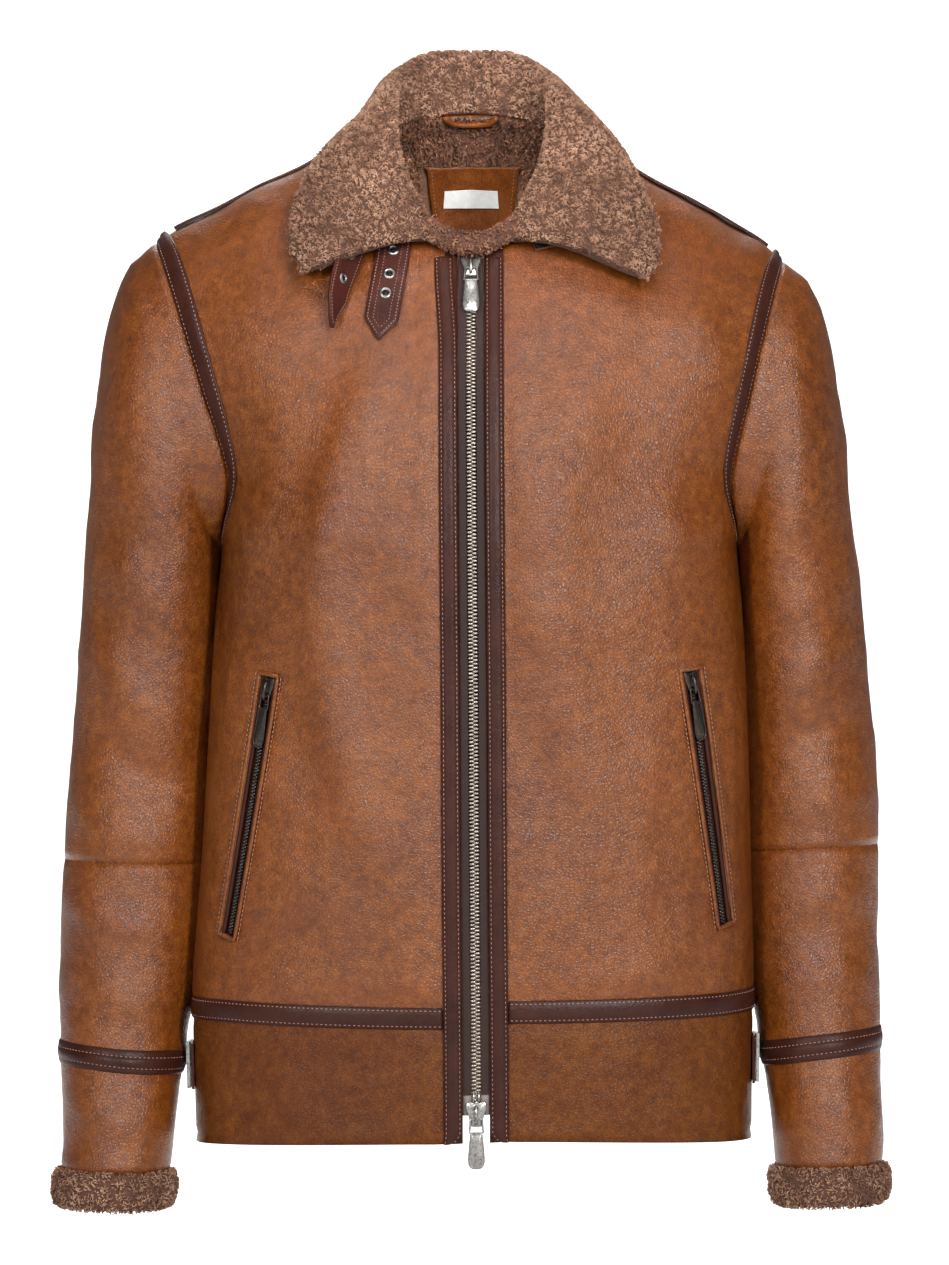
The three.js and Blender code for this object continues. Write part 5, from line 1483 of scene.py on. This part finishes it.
# the hide needs only every second angle of the grid
hide = []
for sign in (1, -1):
    surface = collar + sign * normals * (thick * 0.82)[..., None]
    hide.append(lumpy(surface, sign * normals, 1.5, 6.0, 61)[::2])
points, faces, _ = wall(settle(hide[0]), settle(hide[1]))
make("collar_hide", points, faces, HIDE, "fur", replaces=("collar",))
half_count = len(collar) // 2
wool_side = collar - normals * (thick * 0.82)[..., None]
hidden_side = collar + normals * (thick * 0.82)[..., None]
for name, cut in (("right", slice(0, half_count + 1)), ("left", slice(half_count, None))):
    spots, ups = scatter(wool_side[cut], -normals[cut], COLLAR_SPACING, 71)
    locks = Gathered()
    clumps(locks, spots, ups, COLLAR_LOCK, 81, (0, -0.1, -0.3))
    locks.make(f"collar_{name}_locks", FUR, "fur")
locks = Gathered()
spots, ups = scatter(hidden_side[:, 33:], normals[:, 33:], HIDDEN_SPACING, 73)
clumps(locks, spots, ups, HIDDEN_LOCK, 83, (0, -0.1, -0.3))
# locks round the collar's edge
edge_spots = np.concatenate([collar[:, -1], collar[:, -1], collar[:, -2]])
edge_out = np.concatenate([unit(collar[:, -1] - collar[:, -3])] * 3)
clumps(locks, edge_spots + rng.normal(0, 1.2, edge_spots.shape), edge_out, EDGE_LOCK, 91, (0, -0.6, 0.5))
for end in (0, -1):
    spots = np.repeat(collar[end], 5, axis=0) + rng.normal(0, 1.6, (5 * collar.shape[1], 3))
    outs = np.repeat(unit(collar[end] - collar[1 if end == 0 else -2]), 5, axis=0)
    clumps(locks, spots, outs, END_LOCK, 93 + end)
locks.make("collar_edge_locks", FUR, "fur")

# pile inside the neck, where the coat is open to view
inside = Gathered()
xs = np.linspace(-72, 72, 60)
X, Z = np.meshgrid(xs, np.linspace(-130, 26, 60))
Z = np.minimum(Z, top_z("back", X) + 3)
ups = -body_normal("back", X, Z)
spots, up = scatter(body_point("back", X, Z) + ups * (WALL + 1.0), ups, NECK_SPACING, 95)
keep = ~((np.abs(spots[:, 0]) < 37) & (spots[:, 2] > -62) & (spots[:, 2] < -13))
clumps(inside, spots[keep], up[keep], NECK_LOCK, 97, (0, 0, -0.4))
# the lining rolls up over the top of the front, behind the zip
roll_x = np.linspace(-34, 34, 40)
roll = xyz(roll_x, -86 + 0.004 * roll_x ** 2, -81 + 0.014 * roll_x ** 2)
turns = np.linspace(0, 2 * math.pi, 20, endpoint=False)
ring_y, ring_z = np.cos(turns), np.sin(turns)
ups = np.repeat(xyz(0 * ring_y, ring_y, ring_z)[None], len(roll), axis=0)
surface = roll[:, None] + 7.5 * ups
spots, up = scatter(surface, ups, ROLL_SPACING, 99, False, True)
clumps(inside, spots, up, ROLL_LOCK, 98, (0, -0.4, 0.2))
inside.make("neck_pile_locks", INNER_FUR, "fur")
points, faces = tube(roll, 7.2, 16, ups=np.tile([0.0, 0, 1], (len(roll), 1)))
make("neck_front_roll", settle(points), faces, HIDE, "fur")

# Straps on the right


def strap_frames(rows, low):
    """Points along a strap's middle, with the ways across, out of its face and down it."""
    count = len(rows["x"])
    rows = {"row": np.arange(count, dtype=float), **rows}
    fine = np.linspace(0, count - 1, 90)
    x, z, turn = (curve(rows, "row", fine, key) for key in ("x", "z", "turn"))
    half = np.interp(fine, rows["row"], rows["half"])
    dx, dz = np.gradient(x), np.gradient(z)
    length = np.hypot(dx, dz)
    at, out, down, across = body_frame("front", x, z, dx / length, dz / length)
    turn = np.radians(turn)[:, None]
    wide = across * np.cos(turn) + out * np.sin(turn)
    face = out * np.cos(turn) - across * np.sin(turn)
    rise = low + STRAP_THICK / 2 * np.cos(turn[:, 0]) + half * np.abs(np.sin(turn[:, 0]))
    return at + out * rise[:, None], wide, face, down


STRAP_THICK = 3.4
# low is the gap under the strap, point the length of its tip, sewn the insets of its rows of
# sewing, narrow how fast those close in at the tip, and holes the eyelets' ways along it
STRAPS = {
    "front": {
        "low": 0.6, "point": 15.0, "sewn": (2.0, 5.4), "narrow": 1.25, "holes": (15, 33.5, 50), "eyelet": 3.3,
        "rows": table("x z half turn", [
            [53, -74, 12, 0],
            [55, -90, 12, 0],
            [58.5, -110, 12, 0],
            [62, -130, 12, 0],
            [63.4, -140, 11, 0],
            [64.2, -146, 7.5, 0],
            [64.5, -149.5, 3.5, 0],
        ]),
    },
    "rear": {
        "low": 1.6, "point": 22.0, "sewn": (1.8,), "narrow": 1.1, "holes": (17, 38), "eyelet": 2.7,
        "rows": table("x z half turn", [
            [81, -80, 10, 30],
            [85, -95, 10, 42],
            [88.5, -106, 10, 50],
            [92, -117, 10, 56],
            [95, -130, 10, 60],
            [97, -139, 8, 60],
            [98, -143, 3, 60],
        ]),
    },
}
eyelets = Gathered()
hole_shadows = Gathered()
STRAP_EDGE = np.array([-1, -0.97, -0.88, -0.7, -0.4, 0, 0.4, 0.7, 0.88, 0.97, 1])
for name, strap in STRAPS.items():
    at, wide, face, down = strap_frames(strap["rows"], strap["low"])
    run = run_length(at)
    left = run[-1] - run
    broad = strap["rows"]["half"][0] + 0.4
    half = np.where(left < strap["point"], lerp(1.2, broad, left / strap["point"]), broad)
    profile = STRAP_THICK / 2 * np.maximum(1 - np.abs(STRAP_EDGE) ** 6, 0) ** 0.4
    channel = 0.3 * np.exp(-((np.abs(STRAP_EDGE) - 0.8) / 0.08) ** 2)
    outer = at[:, None] + wide[:, None] * (half[:, None] * STRAP_EDGE)[..., None]
    layers = [outer + sign * face[:, None] * (profile - channel)[None, :, None] for sign in (1, -1)]
    points, faces, _ = wall(settle(mirror(layers[0], -1)), settle(mirror(layers[1], -1)))
    make(f"collar_strap_{name}_leather", points, faces, DARK_STRAP, "trim_leather",
         replaces=(f"collar_strap_{name}",))
    # the rows of sewing follow the edge round the point
    for inset in strap["sewn"]:
        keep = left > inset * 1.5
        for edge_side in (-1, 1):
            reach = np.maximum(half[keep] - inset * strap["narrow"], 0)
            line = at[keep] + wide[keep] * (reach * edge_side)[:, None] + face[keep] * (STRAP_THICK / 2 - 0.1)
            stitch_row(mirror(line, -1), mirror(face[keep], -1), 2.4, 0.32)
    turnings = np.linspace(0, 2 * math.pi, 28, endpoint=False)
    size = strap["eyelet"]
    for distance in strap["holes"]:
        i = int(np.argmin(np.abs(run - distance)))
        for sign in (1, -1):
            centre = at[i] + face[i] * (sign * (STRAP_THICK / 2 + 0.1))
            loop = centre + size * (np.cos(turnings)[:, None] * wide[i] + np.sin(turnings)[:, None] * down[i])
            ups = np.tile(mirror(face[i] * sign, -1), (28, 1))
            eyelets.add(*tube(mirror(loop, -1), 1.15, 8, True, 0.8, ups))
        # a near-black plug fills each eyelet's hole: painted shadow where the hole would show shade
        hole = np.stack([at[i] - face[i] * 1.9, at[i] + face[i] * 1.9])
        hole_shadows.add(*tube(mirror(hole, -1), size - 0.4, 16, ups=np.tile(mirror(down[i], -1), (2, 1))))
eyelets.make("strap_eyelets", STEEL, "hardware")
hole_shadows.make("strap_eyelet_hole_shadows", HOLE_SHADOW, "trim_leather")

# Zip sliders and pulls


def plate(outline, low, high, bevel=0.35):
    """Flat piece of metal with eased edges: points as across, along, height."""
    outline = np.asarray(outline, float)
    before = unit(outline - np.roll(outline, 1, axis=0))
    after = unit(np.roll(outline, -1, axis=0) - outline)
    bend = unit(before + after)
    inward = np.stack([-bend[:, 1], bend[:, 0]], axis=1)
    area = (outline[:, 0] * np.roll(outline[:, 1], -1) - np.roll(outline[:, 0], -1) * outline[:, 1]).sum()
    inward = inward if area > 0 else -inward
    soft = bevel * 0.4
    steps = ((bevel, low), (0, low + bevel), (0, high - bevel), (soft, high - soft), (bevel, high))
    rings = []
    for inset, height in steps:
        flat = outline + inward * inset
        rings.append(np.concatenate([flat, np.full((len(flat), 1), height)], axis=1))
    n = len(outline)
    centre = outline.mean(axis=0)
    points = np.concatenate(rings + [[[*centre, low]], [[*centre, high]]])
    faces = []
    for a, b, c, d in ring_faces(len(rings), n):
        faces += [[a, b, c], [a, c, d]]
    top = (len(rings) - 1) * n
    for k in range(n):
        m = (k + 1) % n
        faces += [[len(points) - 2, m, k], [len(points) - 1, top + k, top + m]]
    return points, outward(points, np.array(faces))


def rounded(half_outline):
    """Closed outline from one side's [half width, along] pairs, with its corners eased."""
    half = np.asarray(half_outline, float)
    line = np.concatenate([half, half[::-1] * [-1, 1]])
    for _ in range(2):
        after = np.roll(line, -1, axis=0)
        line = np.stack([line * 0.75 + after * 0.25, line * 0.25 + after * 0.75], axis=1).reshape(-1, 2)
    return line


def zip_frame(z):
    """Frame of the main zip at a height: its middle, then the ways across, down and out."""
    top = edge_frame(np.array([z, z - MAIN_SLIDER]))
    at = top[0][0] - top[1][0] * OPENING_X
    at[0] = 0
    down = top[0][1] - top[0][0]
    down[0] = 0
    down = unit(down)
    out = np.array([0, down[2], -down[1]])
    return at, np.cross(out, down), down, out


PIVOT_DOWN = 9.4
PIVOT_RISE = 1.2
PULL_REACH = 35.2


def zip_hardware(place, frame, base, scale, side, finish, long=1.0, head=4.4):
    """The slider and the pull of a place, in a frame of origin, across, down and out."""
    at, across, down, out = frame
    kind, where = place

    def put(pile, shape):
        """Adds a shape made in the frame's own directions, as triangles."""
        points, faces = shape
        spots = mirror(at + points[:, :1] * across + points[:, 1:2] * down + points[:, 2:3] * out, side)
        if faces.shape[1] == 4:
            faces = np.concatenate([faces[:, [0, 1, 2]], faces[:, [0, 2, 3]]])
        pile.add(spots, outward(spots, faces))

    slider = Gathered()
    shield = rounded(np.array([
        [1.6, 1.2 - head], [4.4, -head], [7.4, 1.2 - head], [7.6, 0.5],
        [6.6, 4.5], [5.0, 8.5], [4.4, 13.2], [3.6, 15.0],
    ]) * scale)
    put(slider, plate(shield, base - 1.9, base, 0.5))
    if kind == "zip":
        put(slider, plate(shield * [0.86, 0.95], base - 6.0, base - 4.4, 0.4))
        put(slider, plate(rounded([[2.6, -2.5], [2.6, 6]]), base - 5.0, base - 1.5, 0.2))
    arch = np.array([
        [0, 0.6, -0.5], [0, 0.9, 2.4], [0, 2.4, 3.5], [0, 6.2, 3.8],
        [0, 10.6, 3.5], [0, 12.4, 2.3], [0, 12.8, -0.5],
    ]) + [0, 0, base]
    bridge_ups = np.tile([1.0, 0, 0], (len(arch), 1))
    put(slider, tube(arch, 0.85, 10, squash=1.5, ups=bridge_ups))
    node = f"{kind}_slider_{where}"
    slider.make(f"{node}_metal", finish, "hardware", replaces=(node,))

    pull = Gathered()
    level = base + PIVOT_RISE
    ring = np.array([
        [-3.6, 0], [-2.6, -0.15], [0, -0.2], [2.6, -0.15], [3.6, 0], [4.2, 1.2], [4.3, 4], [4.5, 7],
        [4.9, 9.2], [3.2, 9.8], [0, 9.9], [-3.2, 9.8], [-4.9, 9.2], [-4.5, 7], [-4.3, 4], [-4.2, 1.2],
    ]) * [scale, 1]
    ring = np.concatenate([ring + [0, PIVOT_DOWN], np.full((len(ring), 1), level)], axis=1)
    put(pull, tube(ring, 0.72, 8, True, 1.0, np.tile([0.0, 0, 1], (len(ring), 1))))
    reach = PULL_REACH * long
    paddle = rounded(np.array([
        [2.6, 9.0], [4.2, 9.4], [4.4, 11.6], [5.0, 16],
        [5.9, reach - 9], [6.05, reach - 5.5], [5.2, reach - 2.2], [2.8, reach - 0.2],
    ]) * [scale, 1] + [0, PIVOT_DOWN])
    put(pull, plate(paddle, level - 0.75, level + 0.55, 0.35))
    rim = rounded(np.array([
        [2.4, 10.6], [3.6, 11.0], [3.9, 12.4], [4.4, 16],
        [5.2, reach - 9], [5.3, reach - 5.8], [4.6, reach - 3.0], [2.4, reach - 1.2],
    ]) * [scale, 1] + [0, PIVOT_DOWN])
    loop = np.concatenate([rim, np.full((len(rim), 1), level + 0.6)], axis=1)
    put(pull, tube(loop, 0.42, 6, True, 0.8, np.tile([0.0, 0, 1], (len(loop), 1))))
    node = f"{kind}_pull_{where}"
    pull.make(f"{node}_metal", finish, "hardware", body=node, replaces=(node,))


for end, z, head in (("top", TOP_SLIDER_Z, 9.0), ("bottom", BOTTOM_SLIDER_Z, 3.0)):
    zip_hardware(("zip", end), zip_frame(z), 0.9, 1.0, 1, STEEL, head=head)
for name, side in SIDES:
    at, out, down, across = pocket_frame(5.0 / POCKET_LENGTH)
    zip_hardware(("pocket", name), (at, across, down, out), -0.3, 0.78, side, GUNMETAL, 1.07)

# ends of the main zip: two bright pins at the neck, two tape ends and a film at the hem;
# each pin runs between two places across, down and out from its slider
ends = Gathered()
for z, places, radius, sides in (
    (TOP_SLIDER_Z, ((6.0, -8.6, 0.6), (8.6, -13.4, 0.8)), 0.8, 8),
    (BOTTOM_SLIDER_Z, ((1.7, -9.5, -1.2), (1.9, -1.5, -1.2)), 1.25, 10),
):
    at, across, down, out = zip_frame(z)
    for side in (-1, 1):
        pin = np.stack([at + across * (side * a) + down * b + out * c for a, b, c in places])
        ends.add(*tube(pin, radius, sides))
ends.make("zip_end_pins", STEEL, "hardware")
films = Gathered()
for side in (-1, 1):
    z = np.linspace(-692, -678, 6)
    at, across, out = edge_frame(z)
    strip = np.stack([at + across * (x - OPENING_X) + out * -1.9 for x in (3.4, 9.0)], axis=1)
    points, faces, _ = wall(strip + out[:, None] * 0.15, strip - out[:, None] * 0.1)
    films.add(mirror(points, side), outward(mirror(points, side), faces))
films.make("zip_end_films", FILM, "tape")

# hanging loop: a roll of leather whose ends are caught in the neck seam
xs = np.linspace(-22, 22, 30)
sag = 4.5 * (1 - (xs / 22) ** 4)
zs = 26.5 - sag
loop = body_point("back", xs, zs) - body_normal("back", xs, zs) * (WALL + 3.4)
points, faces = tube(loop, 2.1, 12, squash=0.85)
make("hang_loop_leather", settle(points), faces, PATCH_TAN, "suede", replaces=("hang_loop",))

# leather patch with its sewing, and the blank label on it
PATCH = table("z half", [[-60, 21], [-57, 24], [-50, 28], [-42, 31], [-26, 34], [-12, 36], [-9, 38]])
z = np.linspace(-59, -8, 40)
half = np.interp(z, PATCH["z"], PATCH["half"])
across = np.linspace(-1, 1, 41)
X = half[:, None] * across[None, :]
Z = np.repeat(z[:, None], 41, axis=1)
lift = 4.2 + 0.5 * noise(xyz(X, 0 * X, Z), 16, 55) - 0.8 * np.abs(across[None, :]) ** 12
# the patch sits a little to the wearer's left
X = X + 1.5
patch_points = body_point("back", X, Z)
patch_normals = body_normal("back", X, Z)
front_layer = patch_points - patch_normals * (WALL + lift)[..., None]
back_layer = patch_points - patch_normals * (WALL + 2.6)
points, faces, _ = wall(settle(front_layer), settle(back_layer))
make("neck_patch_leather", points, faces, PATCH_TAN, "suede", replaces=("neck_patch",))
for column in (2, 38):
    stitch_row(front_layer[:, column], -patch_normals[:, column], 3.0, 0.32)
stitch_row(front_layer[3], -patch_normals[3], 3.0, 0.32)

# a tab round each side of the hem band, with sewing near its front end
for name, side in SIDES:
    for edge_z in (-649.5, -674.5):
        behind = np.linspace(20, 3, 12)
        z = np.full(12, edge_z)
        angle = angle_in("front", z, behind)
        x = edge_x(z) * np.sin(angle)
        at = body_point("front", x, z)
        at[:, 2] = droop_z(x, z)
        normal = body_normal("front", x, z)
        stitch_row(mirror(at + normal * 2.5, side), mirror(normal, side), 2.6, 0.32)
sewing.make("seam_sewing", THREAD, None)

# Solids that stay, with their finish


def finish_node(name, material, bevel=0.0):
    """Gives a solid its material and, where asked, rounded edges."""
    obj = NODES[name]
    obj.data.materials.clear()
    obj.data.materials.append(material)
    for polygon in obj.data.polygons:
        polygon.material_index = 0
        polygon.use_smooth = False
    if bevel:
        modifier = obj.modifiers.new("rounding", "BEVEL")
        modifier.width = bevel / 1000
        modifier.segments = 3
        modifier.limit_method = "ANGLE"
        modifier.angle_limit = math.radians(30)
        modifier.harden_normals = False


for name, _ in SIDES:
    finish_node(f"pocket_facing_{name}", DARK)
    finish_node(f"zip_tape_{name}", TAPE)
    finish_node(f"side_tab_{name}", DARK_STRAP, 0.5)
    finish_node(f"side_buckle_{name}", STEEL, 0.6)
for end in ("front", "rear"):
    finish_node(f"buckle_strap_{end}", DARK_STRAP, 0.35)
    finish_node(f"collar_buckle_{end}", STEEL, 0.5)
    finish_node(f"buckle_prong_{end}", STEEL, 0.3)
finish_node("neck_label", LABEL, 0.2)

# What is cloth, and the size that each piece is cut to, in millimetres


def cut(piece, width, length, area=None, held="hung", on=(), with_pieces=()):
    """Lists a sheet's sizes and does nothing with them; its area in square centimetres where it isn't a
    rectangle, not used.
    """


cut("back_cloth", 545, 655, 3160)
cut("band_back_cloth", 585, 90, 522, on="back_cloth")
cut("waist_strip_back_leather", 585, 15.5, held="stretched", on="back_cloth")
cut("collar_hide", 600, 135, 666, "folded", "back_cloth",
    ("collar_left_locks", "collar_right_locks", "collar_edge_locks"))
cut("neck_patch_leather", 76, 49, 33.7, "stretched", "back_cloth")
cut("neck_label", 40.5, 14.5, None, "stretched", "neck_patch_leather")
cut("collar_strap_front_leather", 25.5, 87, 20.8, "hung", "collar_hide", ("strap_eyelets",))
cut("collar_strap_rear_leather", 20.5, 75, 14.9, "hung", "collar_hide")
for end in ("front", "rear"):
    cut(f"buckle_strap_{end}", 12, 26, None, "folded", "collar_hide")
for name, _ in SIDES:
    front = f"front_{name}_cloth"
    upper = f"sleeve_upper_{name}_cloth"
    lower = f"sleeve_lower_{name}_cloth"
    cuff = f"sleeve_cuff_{name}_cloth"
    cut(front, 235, 640, 1400, on="back_cloth")
    cut(f"band_front_{name}_cloth", 270, 90, 241, on=front)
    cut(f"placket_{name}_leather", 15.5, 630, None, "stretched", front)
    cut(f"zip_tape_{name}", 10, 605, 39.6, "stretched", front)
    cut(f"pocket_facing_{name}", 15, 187, None, "stretched", front)
    cut(f"waist_strip_{name}_leather", 250, 15.5, None, "stretched", front)
    cut(f"shoulder_strip_{name}_leather", 165, 14.5, None, "stretched", front)
    cut(f"armhole_strip_{name}_leather", 560, 14.5, None, "stretched", front)
    cut(upper, 370, 445, 1230, on=front)
    cut(lower, 300, 150, 426, on=upper)
    cut(cuff, 250, 92, 220, on=lower)
    cut(f"cuff_strip_{name}_leather", 262, 20.5, None, "stretched", lower)
    cut(f"side_tab_{name}", 76, 34, None, "stretched", f"band_front_{name}_cloth")

# Stage, camera and light

FLOOR_Z = -0.84


def set_piece(name, corners, faces, glow):
    """A plain pale surface of the studio."""
    mesh = bpy.data.meshes.new(name)
    mesh.from_pydata(corners, [], faces)
    paper = Nodes(name)
    soft = paper.ramp(paper.noise(1.5, 2, 0.4), (0.3, (0.84, 0.84, 0.84)), (0.7, (0.87, 0.87, 0.87)))
    mesh.materials.append(paper.finish(
        Base_Color=soft, Roughness=0.9, Emission_Color=(1, 1, 1, 1), Emission_Strength=glow))
    mesh.polygons.foreach_set("use_smooth", np.full(len(mesh.polygons), True))
    obj = bpy.data.objects.new(name, mesh)
    bpy.context.scene.collection.objects.link(obj)


# the backdrop curves up far behind the coat, so that a view from behind stands in front of it
SWEEP_Y = 5.0
SWEEP_RADIUS = 1.6
sweep = [(0.2, FLOOR_Z), (SWEEP_Y, FLOOR_Z)]
for turn in np.radians(np.arange(10, 91, 10)):
    sweep.append((SWEEP_Y + SWEEP_RADIUS * math.sin(turn), FLOOR_Z + SWEEP_RADIUS * (1 - math.cos(turn))))
sweep.append((SWEEP_Y + SWEEP_RADIUS, 5.0))
set_piece("studio_backdrop", [(x, y, z) for y, z in sweep for x in (-1.7, 1.7)],
          [(2 * i, 2 * i + 1, 2 * i + 3, 2 * i + 2) for i in range(len(sweep) - 1)], 1.0)
low = FLOOR_Z - 0.002
set_piece("studio_floor", [(-9, -9, low), (9, -9, low), (9, 9, low), (-9, 9, low)], [(0, 1, 2, 3)], 0.15)

world = bpy.data.worlds.new("studio")
world.use_nodes = True
world.node_tree.nodes["Background"].inputs["Color"].default_value = (1, 1, 1, 1)
world.node_tree.nodes["Background"].inputs["Strength"].default_value = 0.16
bpy.context.scene.world = world


def area_light(name, place, target, size, power, spread=180):
    light = bpy.data.lights.new(name, "AREA")
    light.shape = "RECTANGLE"
    light.size, light.size_y = size
    light.energy = power
    light.spread = math.radians(spread)
    obj = bpy.data.objects.new(name, light)
    obj.location = place
    obj.rotation_euler = (Vector(target) - Vector(place)).to_track_quat("-Z", "Y").to_euler()
    bpy.context.scene.collection.objects.link(obj)


MIDDLE = (0, 0, -0.35)
area_light("key_right", (1.15, -2.9, 0.6), (0, 0, -0.18), (0.24, 0.8), 70)
area_light("key_left", (-1.3, -2.7, 0.55), (0, 0, -0.18), (0.24, 0.8), 40)
area_light("neck", (0.12, -1.5, 0.62), (0, 0, 0.01), (0.2, 0.15), 0.3, 18)
area_light("top", (0, -0.7, 1.7), MIDDLE, (1.4, 0.6), 12)
area_light("behind", (0, 2.9, 2.4), MIDDLE, (1.6, 0.8), 46)

# the photo is taken from straight in front, from far off, at the height of the coat's middle
CAMERA_AWAY = 4.0
CAMERA_Z = -0.3546
LENS = 158.1
camera = bpy.data.cameras.new("photo_view")
camera.sensor_width = 36
camera.lens = LENS
camera.clip_end = 60
view = bpy.data.objects.new("photo_view", camera)
view.location = (0, -CAMERA_AWAY, CAMERA_Z)
view.rotation_euler = (math.radians(90), 0, 0)
bpy.context.scene.collection.objects.link(view)
bpy.context.scene.camera = view
bpy.context.scene.view_settings.view_transform = "Standard"

bpy.context.view_layer.update()
